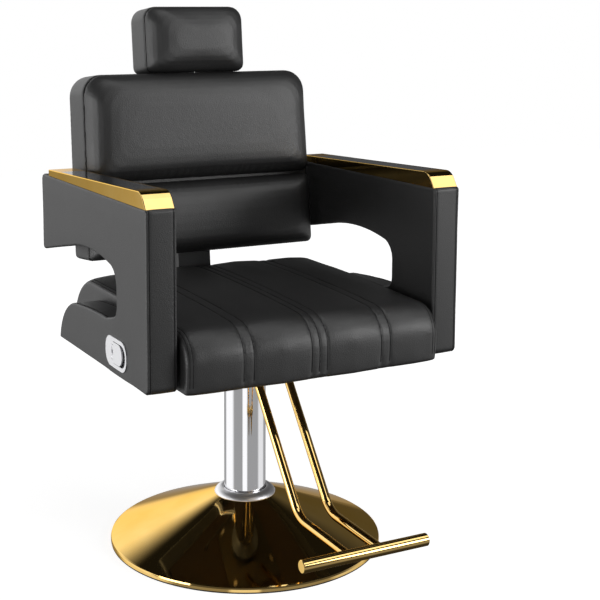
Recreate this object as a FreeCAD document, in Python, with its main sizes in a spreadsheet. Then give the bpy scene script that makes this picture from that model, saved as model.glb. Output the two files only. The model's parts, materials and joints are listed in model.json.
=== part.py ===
import FreeCAD, Part
import math
import operator
import os
import Sketcher
from FreeCAD import Placement, Rotation, Vector

# Hydraulic barber chair, in mm and degrees. The origin is on the floor under the column, +Z is up,
# the chair faces -Y and +X is the sitter's left.

document = FreeCAD.newDocument("BarberChair")

sizes = {
    # base
    "baseRadius": 292,
    "baseHeight": 101,
    "domeSheet": 2.2,
    "domeHole": 50,
    "rimFoot": 2,
    "rimTop": 8.5,
    "rimInset": 3.2,
    "rimShoulder": 4.6,
    "plateInset": 16,
    "plateThick": 8,
    "collarRadius": 66,
    "collarTop": 113.5,
    "collarEdge": 1.8,
    "collarBulge": 19,
    "flangeRadius": 85,
    "flangeThick": 8,
    "flangeBoltCircle": 62,
    "flangeBoltRadius": 5,
    "tubeRadius": 38,
    "tubeWall": 4,
    "tubeFloor": 20,
    "tubeTop": 330,
    "bushLength": 45,
    "bushLip": 3,
    # lift
    "ramRadius": 25,
    "ramBore": 17,
    "pistonHeight": 20,
    "spigotRadius": 20,
    "spigotLength": 44,
    "raceRadius": 31,
    "raceHeight": 6,
    # pump head and shroud
    "shroudRadius": 45,
    "shroudWall": 2,
    "ringHeight": 13,
    "ringLip": 6,
    "shroudTop": 392,
    "headSpigot": 20,
    "headRadius": 62,
    "headCone": 16,
    "headTop": 431,
    "bossHalf": 18,
    "bossFront": 47,
    "bossRear": 84,
    "bossFoot": 388,
    "bossTop": 411,
    # pedal
    "pedalY": 72,
    "pedalZ": 398,
    "pedalPinRadius": 5,
    "sleeveRadius": 9.5,
    "sleeveEnd": 40,
    "pedalRod": 5.5,
    "pedalHalf": 80,
    "pedalBendY": 119,
    "pedalRearY": 270,
    "pedalFootZ": 355.5,
    "pedalRootX": 33,
    "pedalRootDrop": 7,
    "plungerX": 31,
    "plungerY": 46,
    "plungerRadius": 6,
    "plungerLength": 18,
    "fingerThick": 5,
    "fingerFront": 44,
    "springWire": 1,
    "springTurns": 5,
    # mount plate, board and frame
    "mountPlateHalf": 105,
    "mountPlateRear": 120,
    "mountPlateThick": 6,
    "mountBolt": 85,
    "mountBoltRadius": 4,
    "seatBottom": 437,
    "boardThick": 12,
    "boardInset": 12,
    "boardFront": -290,
    "boardRear": 190,
    "frameTube": 30,
    "crossTubeY": 150,
    "railInner": 50,
    "railWide": 20,
    "railRear": 278,
    "endPlateThick": 6,
    "endPlateHalf": 30,
    "armBoltRadius": 4,
    "armBoltReach": 28,
    "armBoltSpread": 23,
    # seat cushion
    "seatHalf": 278.5,
    "seatFront": -317,
    "seatTop": 548,
    "seatCrown": 7,
    "seatRearTop": 205,
    "seatRearRise": 9,
    "seatTopBow": 6500,
    "seatRearFoot": 302,
    "seatRearRound": 121,
    "seatFrontRound": 55,
    "seatFootRound": 7,
    "seatLip": 3,
    "seatSkirt": 10,
    "seatSideRound": 9,
    "channelDepth": 3.4,
    "channelMiddle": 17,
    "channelInner": 141,
    "channelOuter": 162,
    "strutSlotHalf": 45,
    "strutSlotFront": 238,
    # arms
    "armFront": -285,
    "armRear": 308,
    "armBottom": 437,
    "armTop": 782.7,
    "armGap": 5.5,
    "armThick": 60,
    "armEdge": 6,
    "armCorner": 13,
    "heelY": 206,
    "heelRound": 115,
    "sillRearY": 106,
    "sillRearZ": 531.5,
    "sillFrontY": -75,
    "sillFrontZ": 541,
    "sillBow": 1400,
    "sillNoseY": -113,
    "sillNoseZ": 549,
    "noseLowRound": 24.3,
    "noseY": -132,
    "noseLowZ": 573,
    "noseHighZ": 607.5,
    "noseHighRound": 42.3,
    "roofFrontY": -101,
    "roofFrontZ": 650,
    "roofRound": 508,
    "roofRearY": 98,
    "roofRearZ": 656,
    "limbRearZ": 617.5,
    "limbRound": 9,
    # arm caps
    "capFront": -279,
    "capRear": 264,
    "capInset": 0.8,
    "capRearRise": 12.8,
    "capFrontRise": 30.3,
    "capNoseBack": -243,
    "capNoseY": -267,
    "capNoseDrop": 12,
    "capNoseRound": 30,
    "capEdge": 1.5,
    "inlayFront": -215,
    "inlayRear": 196,
    "inlayInset": 5,
    "inlayDepth": 2.5,
    # footrest
    "restTube": 9.1,
    "restHalfGap": 35,
    "restTopY": -94,
    "restBendY": -304,
    "restBendZ": 154,
    "restBend": 60,
    "restBarY": -490,
    "restBarZ": 149.3,
    "restBarRadius": 12.3,
    "restBarHalf": 135.5,
    "restBarEdge": 1.2,
    "bracketHalf": 100,
    "bracketFront": -128,
    "bracketRear": -68,
    "bracketThick": 6,
    # recline
    "pivotY": 255,
    "pivotZ": 457,
    "pivotPin": 6,
    "pivotBush": 8.5,
    "pivotBoss": 14,
    "backLean": 5.7,
    "reclineTravel": 28,
    "hingePlateInner": 44,
    "hingePlateThick": 6,
    "hingePlateFront": 235,
    "hingePlateFoot": 441,
    "strutHalf": 40,
    "strutThick": 20,
    "strutTop": 254,
    "lugLength": 40,
    "lugRound": 10,
    "lugInner": 6.3,
    "lugThick": 6,
    "lugPin": 5,
    "eyeRadius": 9.5,
    "eyeBore": 6.6,
    "eyeHalf": 5.6,
    "gasRod": 4,
    "gasCylinder": 11,
    "gasWall": 2,
    "gasFront": 118.5,
    "gasRear": 205,
    "gasNose": 5,
    "valvePin": 2,
    "valveTip": 90.8,
    "headBlockFront": 96,
    "headBlockHalf": 14,
    # back
    "seamAhead": 67,
    "backThick": 98,
    "backFoot": 134,
    "backTop": 538,
    "backHalfFoot": 276,
    "backHalfTop": 271,
    "backCornerTop": 45,
    "backCornerFoot": 10,
    "cushionSplit": 300,
    "splitGap": 1.6,
    "backCushion": 43,
    # headrest
    "headHalf": 119.5,
    "headHeight": 147,
    "headLift": 0.5,
    "headCornerTop": 30,
    "headCornerFoot": 14,
    "headBehind": 86,
    "headAhead": 38,
    "headSeamBack": 3,
    "barBack": 24,
    "barRadius": 12.5,
    "barWall": 3,
    "barDrop": 232,
    "barRise": 112,
    "sleeveWall": 3,
    "sleeveDrop": 143,
    "neckLength": 13,
    "neckFlange": 20,
    # release handle in the sitter's right arm
    "handleFront": -185,
    "handleRear": -77,
    "handleFoot": 452,
    "handleTop": 512,
    "handleRound": 26,
    "handleProud": 2.5,
    "handleRim": 4,
    "handleWall": 2,
    "cupDepth": 22,
    "paddleFront": -163.5,
    "paddleRear": -119,
    "paddleFoot": 461,
    "paddleTop": 503,
    "paddleRound": 20,
    "paddleThick": 3,
    "paddlePinY": -113,
    "paddlePin": 1.6,
    "paddleBarrel": 3.6,
    # cable
    "cableRadius": 2.5,
    "cableY": -100,
    "cableZ": 464,
    "cableDropX": -150,
    "cableDropY": 104,
    "cableEndX": -33,
    "cableBend": 20,
    # valve lever
    "leverX": -24,
    "leverY": 82,
    "leverPin": 3,
    "leverThick": 4.4,
    # clearances
    "runFit": 0.05,
    "softGap": 0.3,
    "holeGap": 0.3,
}

sheet = document.addObject("Spreadsheet::Sheet", "Sizes")
for row, (alias, number) in enumerate(sizes.items(), 1):
    sheet.set("A%d" % row, alias)
    sheet.set("B%d" % row, str(number))
    sheet.setAlias("B%d" % row, alias)
document.recompute()


class Size:
    # a number that also knows its expression on the sheet
    def __init__(self, value, text):
        self.value = value
        self.text = text

    def __add__(self, other):
        return combine(self, other, "+")

    def __radd__(self, other):
        return combine(other, self, "+")

    def __sub__(self, other):
        return combine(self, other, "-")

    def __rsub__(self, other):
        return combine(other, self, "-")

    def __mul__(self, other):
        return combine(self, other, "*")

    def __rmul__(self, other):
        return combine(other, self, "*")

    def __truediv__(self, other):
        return combine(self, other, "/")

    def __neg__(self):
        return combine(0, self, "-")


operations = {"+": operator.add, "-": operator.sub, "*": operator.mul, "/": operator.truediv}


def asSize(number):
    return number if isinstance(number, Size) else Size(float(number), "(%r)" % float(number))


def combine(left, right, sign):
    left = asSize(left)
    right = asSize(right)
    return Size(operations[sign](left.value, right.value), "(%s %s %s)" % (left.text, sign, right.text))


class Sheet:
    def __getattr__(self, alias):
        return Size(float(getattr(sheet, alias)), "Sizes." + alias)


s = Sheet()
parts = []


# Helpers: sketches and features

def bind(thing, path, size):
    thing.setExpression(path, asSize(size).text)


def finishPart(thing, name):
    thing.Label = name
    parts.append(thing)
    return thing


def addBody(name):
    return document.addObject("PartDesign::Body", name + "_body")


def addSketch(body, role, shift=0):
    sketch = body.newObject("Sketcher::SketchObject", body.Name + "_sketch")
    plane = [feature for feature in body.Origin.OriginFeatures if feature.Role == role][0]
    sketch.AttachmentSupport = [(plane, "")]
    sketch.MapMode = "FlatFace"
    sketch.AttachmentOffset = Placement(Vector(0, 0, asSize(shift).value), Rotation())
    bind(sketch, "AttachmentOffset.Base.z", shift)
    return sketch


def holdPoint(sketch, edge, end, across, up):
    for kind, axis, size in (("DistanceX", -2, across), ("DistanceY", -1, up)):
        if not isinstance(size, Size) and size == 0:
            sketch.addConstraint(Sketcher.Constraint("PointOnObject", edge, end, axis))
        else:
            rule = sketch.addConstraint(Sketcher.Constraint(kind, -1, 1, edge, end, asSize(size).value))
            bind(sketch, "Constraints[%d]" % rule, size)


def holdRadius(sketch, edge, radius):
    rule = sketch.addConstraint(Sketcher.Constraint("Radius", edge, asSize(radius).value))
    bind(sketch, "Constraints[%d]" % rule, radius)


def drawCircle(sketch, across, up, radius):
    centre = Vector(asSize(across).value, asSize(up).value, 0)
    edge = sketch.addGeometry(Part.Circle(centre, Vector(0, 0, 1), asSize(radius).value), False)
    holdPoint(sketch, edge, 3, across, up)
    holdRadius(sketch, edge, radius)


def drawLoop(sketch, corners):
    # a corner is (across, up), or (across, up, radius, turn) when an arc leaves it; turn 1 is to the left
    ends = []
    for corner, following in zip(corners, corners[1:] + corners[:1]):
        start = Vector(asSize(corner[0]).value, asSize(corner[1]).value, 0)
        stop = Vector(asSize(following[0]).value, asSize(following[1]).value, 0)
        if len(corner) == 2:
            ends.append((sketch.addGeometry(Part.LineSegment(start, stop), False), 1, 2))
            continue
        radius, turn = asSize(corner[2]).value, corner[3]
        chord = stop - start
        side = Vector(-chord.y, chord.x, 0).normalize() * turn
        centre = (start + stop) * 0.5 + side * math.sqrt(radius**2 - (chord.Length / 2) ** 2)
        first, last = (start, stop) if turn > 0 else (stop, start)
        angles = [math.atan2(point.y - centre.y, point.x - centre.x) for point in (first, last)]
        if angles[1] < angles[0]:
            angles[1] += 2 * math.pi
        arc = Part.ArcOfCircle(Part.Circle(centre, Vector(0, 0, 1), radius), *angles)
        ends.append((sketch.addGeometry(arc, False),) + ((1, 2) if turn > 0 else (2, 1)))
    for (edge, head, tail), (nextEdge, nextHead, nextTail) in zip(ends, ends[1:] + ends[:1]):
        sketch.addConstraint(Sketcher.Constraint("Coincident", edge, tail, nextEdge, nextHead))
    for (edge, head, tail), corner in zip(ends, corners):
        holdPoint(sketch, edge, head, corner[0], corner[1])
        if len(corner) == 4:
            holdRadius(sketch, edge, corner[2])


def rectangle(left, right, foot, top):
    return [(left, foot), (right, foot), (right, top), (left, top)]


def roundedRectangle(left, right, foot, top, radius):
    return [
        (left + radius, foot), (right - radius, foot, radius, 1),
        (right, foot + radius), (right, top - radius, radius, 1),
        (right - radius, top), (left + radius, top, radius, 1),
        (left, top - radius), (left, foot + radius, radius, 1),
    ]


def addPad(body, sketch, length):
    pad = body.newObject("PartDesign::Pad", body.Name + "_pad")
    pad.Profile = sketch
    pad.Length = asSize(length).value
    bind(pad, "Length", length)
    return pad


def addPocket(body, sketch, depth, forward=False):
    # a pocket cuts against its sketch's normal, or along it when forward
    pocket = body.newObject("PartDesign::Pocket", body.Name + "_pocket")
    pocket.Profile = sketch
    pocket.Length = asSize(depth).value
    pocket.Reversed = forward
    bind(pocket, "Length", depth)
    return pocket


def addRevolution(body, sketch):
    turned = body.newObject("PartDesign::Revolution", body.Name + "_turned")
    turned.Profile = sketch
    turned.ReferenceAxis = (sketch, ["V_Axis"])
    turned.Angle = 360
    return turned


def addFillet(body, feature, radius, test):
    document.recompute()
    edges = ["Edge%d" % (place + 1) for place, edge in enumerate(feature.Shape.Edges) if test(edge.BoundBox)]
    fillet = body.newObject("PartDesign::Fillet", body.Name + "_fillet")
    fillet.Base = (feature, edges)
    fillet.Radius = asSize(radius).value
    bind(fillet, "Radius", radius)
    return fillet


def addChamfer(body, feature, size, test):
    document.recompute()
    edges = ["Edge%d" % (place + 1) for place, edge in enumerate(feature.Shape.Edges) if test(edge.BoundBox)]
    chamfer = body.newObject("PartDesign::Chamfer", body.Name + "_chamfer")
    chamfer.Base = (feature, edges)
    chamfer.Size = asSize(size).value
    bind(chamfer, "Size", size)
    return chamfer


def addPattern(body, feature, count):
    pattern = body.newObject("PartDesign::PolarPattern", body.Name + "_pattern")
    pattern.Originals = [feature]
    zAxis = [item for item in body.Origin.OriginFeatures if item.Role == "Z_Axis"][0]
    pattern.Axis = (zAxis, [""])
    pattern.Angle = 360
    pattern.Occurrences = count
    body.Tip = pattern
    return pattern


def turnedPart(name, corners):
    body = addBody(name)
    sketch = addSketch(body, "XZ_Plane")
    drawLoop(sketch, corners)
    addRevolution(body, sketch)
    return finishPart(body, name)


def platePart(name, role, start, length, corners, circles=()):
    body = addBody(name)
    sketch = addSketch(body, role, start)
    drawLoop(sketch, corners)
    for circle in circles:
        drawCircle(sketch, *circle)
    addPad(body, sketch, length)
    return finishPart(body, name)


def place(thing, x, y, z, turn=None):
    thing.Placement = Placement(Vector(asSize(x).value, asSize(y).value, asSize(z).value), turn or Rotation())
    for axis, size in zip("xyz", (x, y, z)):
        bind(thing, "Placement.Base." + axis, size)
    return thing


def layAlongY(thing, z):
    # a part turned about Z is laid so that its axis runs towards +Y at height z
    return place(thing, 0, 0, z, Rotation(Vector(1, 0, 0), -90))


def leanBack(thing):
    # the back's own frame has its origin on the recline pivot and leans with the back
    place(thing, 0, s.pivotY, s.pivotZ, Rotation(Vector(-1, 0, 0), s.backLean.value))
    bind(thing, "Placement.Rotation.Angle", s.backLean)
    return thing


def addBox(name, x, y, z, wide, deep, high):
    box = document.addObject("Part::Box", name)
    for path, size in (("Length", wide), ("Width", deep), ("Height", high)):
        setattr(box, path, asSize(size).value)
        bind(box, path, size)
    return place(box, x, y, z)


axisTurns = {
    "X": Rotation(Vector(0, 1, 0), 90),
    "Y": Rotation(Vector(1, 0, 0), -90),
    "Z": Rotation(),
}


def addRod(name, axis, radius, length, x, y, z):
    rod = document.addObject("Part::Cylinder", name)
    for path, size in (("Radius", radius), ("Height", length)):
        setattr(rod, path, asSize(size).value)
        bind(rod, path, size)
    return place(rod, x, y, z, axisTurns[axis])


def join(name, *things):
    fused = document.addObject("Part::MultiFuse", name)
    fused.Shapes = list(things)
    return fused


def cut(name, base, *tools):
    result = document.addObject("Part::Cut", name)
    result.Base = base
    result.Tool = tools[0] if len(tools) == 1 else join(name + "_tools", *tools)
    return result


def shapePart(name, shape):
    thing = document.addObject("Part::Feature", name)
    thing.Shape = shape
    return finishPart(thing, name)


def tubeShape(route, bends, radius):
    # straight runs joined by tangent arcs
    edges = []
    start = route[0]
    for before, corner, after, bend in zip(route, route[1:], route[2:], bends):
        toward = (before - corner).normalize()
        away = (after - corner).normalize()
        half = toward.getAngle(away) / 2
        inward = (toward + away).normalize()
        middle = corner + inward * (bend / math.sin(half) - bend)
        leave = corner + toward * (bend / math.tan(half))
        arrive = corner + away * (bend / math.tan(half))
        edges.append(Part.LineSegment(start, leave).toShape())
        edges.append(Part.Arc(leave, middle, arrive).toShape())
        start = arrive
    edges.append(Part.LineSegment(start, route[-1]).toShape())
    path = Part.Wire(edges)
    section = Part.Wire([Part.makeCircle(radius, route[0], route[1] - route[0])])
    tube = path.makePipeShell([section], True, False)
    share = tube.Volume / (path.Length * math.pi * radius**2)
    print("tube of radius %.1f: length %.1f, volume share %.4f" % (radius, path.Length, share))
    return tube


def hexBolts(name, feet, direction, radius, shank, head):
    # bolts whose heads' undersides are at feet and whose shanks point along direction
    bolts = []
    for foot in feet:
        across = Vector(direction.z, direction.x, direction.y)
        corners = [
            foot + Rotation(direction, 60 * k).multVec(across) * radius * 1.9 for k in range(7)
        ]
        hexagon = Part.Face(Part.makePolygon(corners)).extrude(direction * -head)
        bolts.append(hexagon.fuse(Part.makeCylinder(radius, shank, foot, direction)).removeSplitter())
    return shapePart(name, Part.makeCompound(bolts))


# Base

coneSlope = (s.baseHeight - s.rimTop - s.rimShoulder) / (s.baseRadius - s.rimInset - s.collarRadius)


def coneHeight(radius):
    return s.baseHeight + (s.collarRadius - radius) * coneSlope


turnedPart("base_dome", [
    (s.baseRadius - 1, s.rimFoot),
    (s.baseRadius, s.rimFoot + 1),
    (s.baseRadius, s.rimTop),
    (s.baseRadius - s.rimInset * 0.3, s.rimTop + s.rimShoulder * 0.68),
    (s.baseRadius - s.rimInset, s.rimTop + s.rimShoulder),
    (s.domeHole, coneHeight(s.domeHole)),
    (s.domeHole, coneHeight(s.domeHole) - s.domeSheet),
    (s.baseRadius - s.rimInset, s.rimTop + s.rimShoulder - s.domeSheet),
    (s.baseRadius - s.domeSheet, s.rimTop),
    (s.baseRadius - s.domeSheet, s.rimFoot),
])

plateRadius = s.baseRadius - s.plateInset
plate = addBody("base_plate")
plateSketch = addSketch(plate, "XY_Plane")
drawCircle(plateSketch, 0, 0, plateRadius)
addPad(plate, plateSketch, s.plateThick)
plateHoles = addSketch(plate, "XY_Plane", s.plateThick)
drawCircle(plateHoles, s.flangeBoltCircle, 0, s.flangeBoltRadius + s.runFit)
addPattern(plate, addPocket(plate, plateHoles, s.plateThick - 2), 4)
finishPart(plate, "base_plate")

turnedPart("base_gasket", [
    (plateRadius + s.softGap, 0),
    (s.baseRadius - 0.6, 0),
    (s.baseRadius - 0.6, s.rimFoot),
    (plateRadius + s.softGap, s.rimFoot),
])

collarBore = s.shroudRadius + 1
turnedPart("base_collar", [
    (s.collarRadius, s.baseHeight + 0.2),
    (s.collarRadius, s.baseHeight + s.collarEdge, s.collarBulge, 1),
    (collarBore + 2, s.collarTop),
    (collarBore, s.collarTop),
    (collarBore, coneHeight(s.domeHole) + 0.2),
    (s.domeHole, coneHeight(s.domeHole) + 0.2),
])

tubeBore = s.tubeRadius - s.tubeWall
flangeTop = s.plateThick + s.flangeThick
guide = addBody("base_tube")
guideSketch = addSketch(guide, "XZ_Plane")
drawLoop(guideSketch, [
    (0, s.plateThick),
    (s.flangeRadius, s.plateThick),
    (s.flangeRadius, flangeTop),
    (s.tubeRadius, flangeTop),
    (s.tubeRadius, s.tubeTop),
    (tubeBore, s.tubeTop),
    (tubeBore, s.tubeFloor),
    (0, s.tubeFloor),
])
addRevolution(guide, guideSketch)
guideHoles = addSketch(guide, "XY_Plane", flangeTop)
drawCircle(guideHoles, s.flangeBoltCircle, 0, s.flangeBoltRadius + s.holeGap)
addPattern(guide, addPocket(guide, guideHoles, s.flangeThick), 4)
finishPart(guide, "base_tube")

flangeFeet = [
    Rotation(Vector(0, 0, 1), 90 * k).multVec(Vector(s.flangeBoltCircle.value, 0, flangeTop.value))
    for k in range(4)
]
hexBolts("flange_bolts", flangeFeet, Vector(0, 0, -1), s.flangeBoltRadius.value,
         (flangeTop - 2.5).value, 6.5)

bushBore = s.ramRadius + s.runFit
turnedPart("guide_bush", [
    (bushBore, s.tubeTop - s.bushLength),
    (tubeBore - s.runFit, s.tubeTop - s.bushLength),
    (tubeBore - s.runFit, s.tubeTop),
    (s.tubeRadius, s.tubeTop),
    (s.tubeRadius, s.tubeTop + s.bushLip),
    (bushBore, s.tubeTop + s.bushLip),
])

# Lift

headFoot = s.shroudTop - s.headSpigot
shoulder = headFoot - s.raceHeight - 0.2
ramFoot = s.tubeFloor + s.softGap
turnedPart("ram", [
    (s.ramBore, ramFoot),
    (s.ramRadius, ramFoot),
    (s.ramRadius, shoulder),
    (s.spigotRadius, shoulder),
    (s.spigotRadius, shoulder + s.spigotLength),
    (0, shoulder + s.spigotLength),
    (0, shoulder),
    (s.ramBore, shoulder),
])
turnedPart("ram_piston", [
    (s.ramRadius + s.runFit, ramFoot),
    (tubeBore - 2 * s.runFit, ramFoot),
    (tubeBore - 2 * s.runFit, ramFoot + s.pistonHeight),
    (s.ramRadius + s.runFit, ramFoot + s.pistonHeight),
])
turnedPart("thrust_race", [
    (s.spigotRadius + s.runFit, shoulder),
    (s.raceRadius, shoulder),
    (s.raceRadius, shoulder + s.raceHeight),
    (s.spigotRadius + s.runFit, shoulder + s.raceHeight),
])

# Pump head and shroud

head = addBody("pump_head")
headSketch = addSketch(head, "XZ_Plane")
drawLoop(headSketch, [
    (s.spigotRadius + s.runFit, headFoot),
    (s.shroudRadius - s.shroudWall - s.runFit, headFoot),
    (s.shroudRadius - s.shroudWall - s.runFit, s.shroudTop),
    (s.shroudRadius, s.shroudTop),
    (s.headRadius, s.shroudTop + s.headCone),
    (s.headRadius, s.headTop),
    (0, s.headTop),
    (0, shoulder + s.spigotLength + 1),
    (s.spigotRadius + s.runFit, shoulder + s.spigotLength + 1),
])
addRevolution(head, headSketch)
bossSketch = addSketch(head, "YZ_Plane", -s.bossHalf)
drawLoop(bossSketch, [
    (s.bossFront, s.bossFoot),
    (s.bossRear - 10, s.bossFoot, Size(10.0, "10"), 1),
    (s.bossRear, s.bossFoot + 10),
    (s.bossRear, s.bossTop),
    (s.bossFront, s.bossTop),
])
addPad(head, bossSketch, 2 * s.bossHalf)
pinSketch = addSketch(head, "YZ_Plane", -s.bossHalf - 1)
drawCircle(pinSketch, s.pedalY, s.pedalZ, s.pedalPinRadius + s.runFit)
addPocket(head, pinSketch, 2 * s.bossHalf + 2, True)
plungerFoot = s.pedalZ - 6
reliefSketch = addSketch(head, "XY_Plane", plungerFoot - 6)
drawLoop(reliefSketch, rectangle(-s.plungerX - 8, -s.plungerX + 8, s.fingerFront - 3, s.pedalY))
addPocket(head, reliefSketch, 17, True)
plungerSketch = addSketch(head, "XY_Plane", plungerFoot)
drawCircle(plungerSketch, -s.plungerX, s.plungerY, s.plungerRadius + s.runFit)
addPocket(head, plungerSketch, s.plungerLength + 11, True)
finishPart(head, "pump_head")

ringFoot = s.collarTop + 0.5
ringTop = ringFoot + s.ringHeight
turnedPart("shroud", [
    (s.shroudRadius - s.shroudWall, ringTop),
    (s.shroudRadius, ringTop),
    (s.shroudRadius, s.shroudTop),
    (s.shroudRadius - s.shroudWall, s.shroudTop),
])
turnedPart("shroud_ring", [
    (s.tubeRadius + 0.5, ringFoot),
    (s.shroudRadius, ringFoot),
    (s.shroudRadius, ringTop),
    (s.shroudRadius - s.shroudWall - s.runFit, ringTop),
    (s.shroudRadius - s.shroudWall - s.runFit, ringTop + s.ringLip),
    (s.tubeRadius + 0.5, ringTop + s.ringLip),
])

# Pump pedal, plunger and spring

pedalRoute = []
drop = s.pedalRootDrop.value
for side in (-1, 1):
    root = Vector(side * s.pedalRootX.value, s.pedalY.value + drop, s.pedalZ.value - drop)
    bend = Vector(side * s.pedalHalf.value, s.pedalBendY.value, s.pedalFootZ.value)
    rear = Vector(side * s.pedalHalf.value, s.pedalRearY.value, s.pedalFootZ.value)
    pedalRoute.extend([root, bend, rear] if side < 0 else [rear, bend, root])
pedalShape = tubeShape(pedalRoute, [24, 26, 26, 24], s.pedalRod.value)
sleeveStart = s.bossHalf + 0.4
springRoom = 2 * s.springTurns * s.springWire + 2
for side in (-1, 1):
    sleeve = Part.makeCylinder(
        s.sleeveRadius.value, (s.sleeveEnd - sleeveStart).value,
        Vector(side * sleeveStart.value, s.pedalY.value, s.pedalZ.value), Vector(side, 0, 0))
    if side > 0:
        sleeve = sleeve.cut(Part.makeBox(
            springRoom.value, 40, 40, Vector(sleeveStart.value, s.pedalY.value - 20, s.pedalZ.value - 20)))
    pedalShape = pedalShape.fuse(sleeve)
fingerTop = plungerFoot - s.softGap
finger = Part.makeBox(
    12, (s.pedalY - s.fingerFront).value, s.fingerThick.value,
    Vector(-s.plungerX.value - 6, s.fingerFront.value, (fingerTop - s.fingerThick).value))
pedalShape = pedalShape.fuse(finger).cut(Part.makeCylinder(
    (s.pedalPinRadius + 1.6 * s.runFit).value, 200,
    Vector(-100, s.pedalY.value, s.pedalZ.value), Vector(1, 0, 0)))
shapePart("pump_pedal", pedalShape.removeSplitter())

pin = addRod("pedalPinShank", "X", s.pedalPinRadius, 2 * s.sleeveEnd + 0.8, -s.sleeveEnd - 0.4,
             s.pedalY, s.pedalZ)
clips = [
    addRod("pedalPinClip", "X", s.pedalPinRadius + 2.5, 2, start, s.pedalY, s.pedalZ)
    for start in (-s.sleeveEnd - 2.4, s.sleeveEnd + 0.4)
]
finishPart(join("pedal_pin", pin, *clips), "pedal_pin")

plunger = cut(
    "pump_plunger",
    addRod("plungerRod", "Z", s.plungerRadius, s.plungerLength, -s.plungerX, s.plungerY, plungerFoot),
    addRod("plungerOil", "Z", s.plungerRadius - 3, 8, -s.plungerX, s.plungerY,
           plungerFoot + s.plungerLength - 8),
)
finishPart(plunger, "pump_plunger")

springFoot = s.pedalPinRadius + 0.4
finishPart(cut(
    "pedal_spring",
    addRod("pedalSpringOuter", "X", springFoot + 2 * s.springWire, springRoom - 1,
           sleeveStart + 0.5, s.pedalY, s.pedalZ),
    addRod("pedalSpringInner", "X", springFoot, springRoom + 2, sleeveStart - 1, s.pedalY, s.pedalZ),
), "pedal_spring")

# Mount plate, board and welded frame under the cushion

mountFoot = s.seatBottom - s.mountPlateThick
mountHoles = [
    (side * s.mountBolt, end * s.mountBolt, s.mountBoltRadius + s.holeGap)
    for side in (-1, 1) for end in (-1, 1)
]
platePart("mount_plate", "XY_Plane", mountFoot, s.mountPlateThick,
          roundedRectangle(-s.mountPlateHalf, s.mountPlateHalf, -s.mountPlateHalf, s.mountPlateRear,
                           Size(12.0, "12")), mountHoles)
platePart("footrest_bracket", "XY_Plane", mountFoot - s.bracketThick, s.bracketThick,
          roundedRectangle(-s.bracketHalf, s.bracketHalf, s.bracketFront, s.bracketRear, Size(8.0, "8")),
          mountHoles[::2])
boltFeet = []
for side in (-1, 1):
    for end, drop in ((-1, s.bracketThick.value), (1, 0)):
        boltFeet.append(Vector(side * s.mountBolt.value, end * s.mountBolt.value, mountFoot.value - drop))
frontBolts = [foot for foot in boltFeet if foot.y < 0]
rearBolts = [foot for foot in boltFeet if foot.y > 0]
mountBolts = []
for feet, reach in ((frontBolts, s.bracketThick.value), (rearBolts, 0)):
    shank = (s.mountPlateThick + s.boardThick).value + reach - 1
    made = hexBolts("mount_bolts", feet, Vector(0, 0, 1), s.mountBoltRadius.value, shank, 5.3)
    parts.remove(made)
    mountBolts.append(made)
mountBoltSet = document.addObject("Part::Compound", "mount_bolt_set")
mountBoltSet.Links = mountBolts
for made in mountBolts:
    made.Label = made.Name + "_pair"
finishPart(mountBoltSet, "mount_bolts")

armInner = s.seatHalf + s.armGap
boardSide = armInner - s.softGap
boardHalf = s.seatHalf - s.boardInset
platePart("seat_board", "XY_Plane", s.seatBottom, s.boardThick,
          rectangle(-boardHalf, boardHalf, s.boardFront, s.boardRear),
          mountHoles + [(s.cableDropX, s.cableDropY, 3 * s.cableRadius)])

frameFoot = s.seatBottom + s.boardThick
frameTop = frameFoot + s.frameTube
frameBits = []
for end in (-1, 1):
    y = end * s.crossTubeY
    frameBits.append(addBox("crossTube", -boardSide + s.endPlateThick, y - s.frameTube / 2, frameFoot,
                            2 * (boardSide - s.endPlateThick), s.frameTube, s.frameTube))
    for start in (-boardSide, boardSide - s.endPlateThick):
        frameBits.append(addBox("endPlate", start, y - s.endPlateHalf, frameFoot,
                                s.endPlateThick, 2 * s.endPlateHalf, s.frameTube))
for start in (-s.railInner - s.railWide, s.railInner):
    frameBits.append(addBox("rail", start, -s.crossTubeY, frameFoot,
                            s.railWide, s.railRear + s.crossTubeY, s.frameTube))
armBoltZ = frameFoot + s.frameTube / 2
armBoltYs = [
    end * s.crossTubeY + spread * s.armBoltSpread for end in (-1, 1) for spread in (-1, 1)
]
frameHoles = [
    addRod("frameHole", "X", s.armBoltRadius + s.holeGap, 2 * boardSide + 2, -boardSide - 1, y, armBoltZ)
    for y in armBoltYs
]
finishPart(cut("seat_frame", join("frameWelded", *frameBits), *frameHoles), "seat_frame")

armBoltSets = []
for side in (-1, 1):
    feet = [
        Vector(side * (boardSide - s.endPlateThick).value, y.value, armBoltZ.value) for y in armBoltYs
    ]
    made = hexBolts("arm_bolts", feet, Vector(side, 0, 0), s.armBoltRadius.value,
                    (s.armBoltReach + s.endPlateThick).value - 1, 4.5)
    parts.remove(made)
    made.Label = made.Name + "_side"
    armBoltSets.append(made)
armBolts = document.addObject("Part::Compound", "arm_bolt_set")
armBolts.Links = armBoltSets
finishPart(armBolts, "arm_bolts")

# Seat cushion: slices across the seat, pulled in at the sewn channels and at the sides

seatHalf = s.seatHalf.value


def crownAt(x):
    return s.seatCrown.value * (1 - (x / seatHalf) ** 2)


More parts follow.
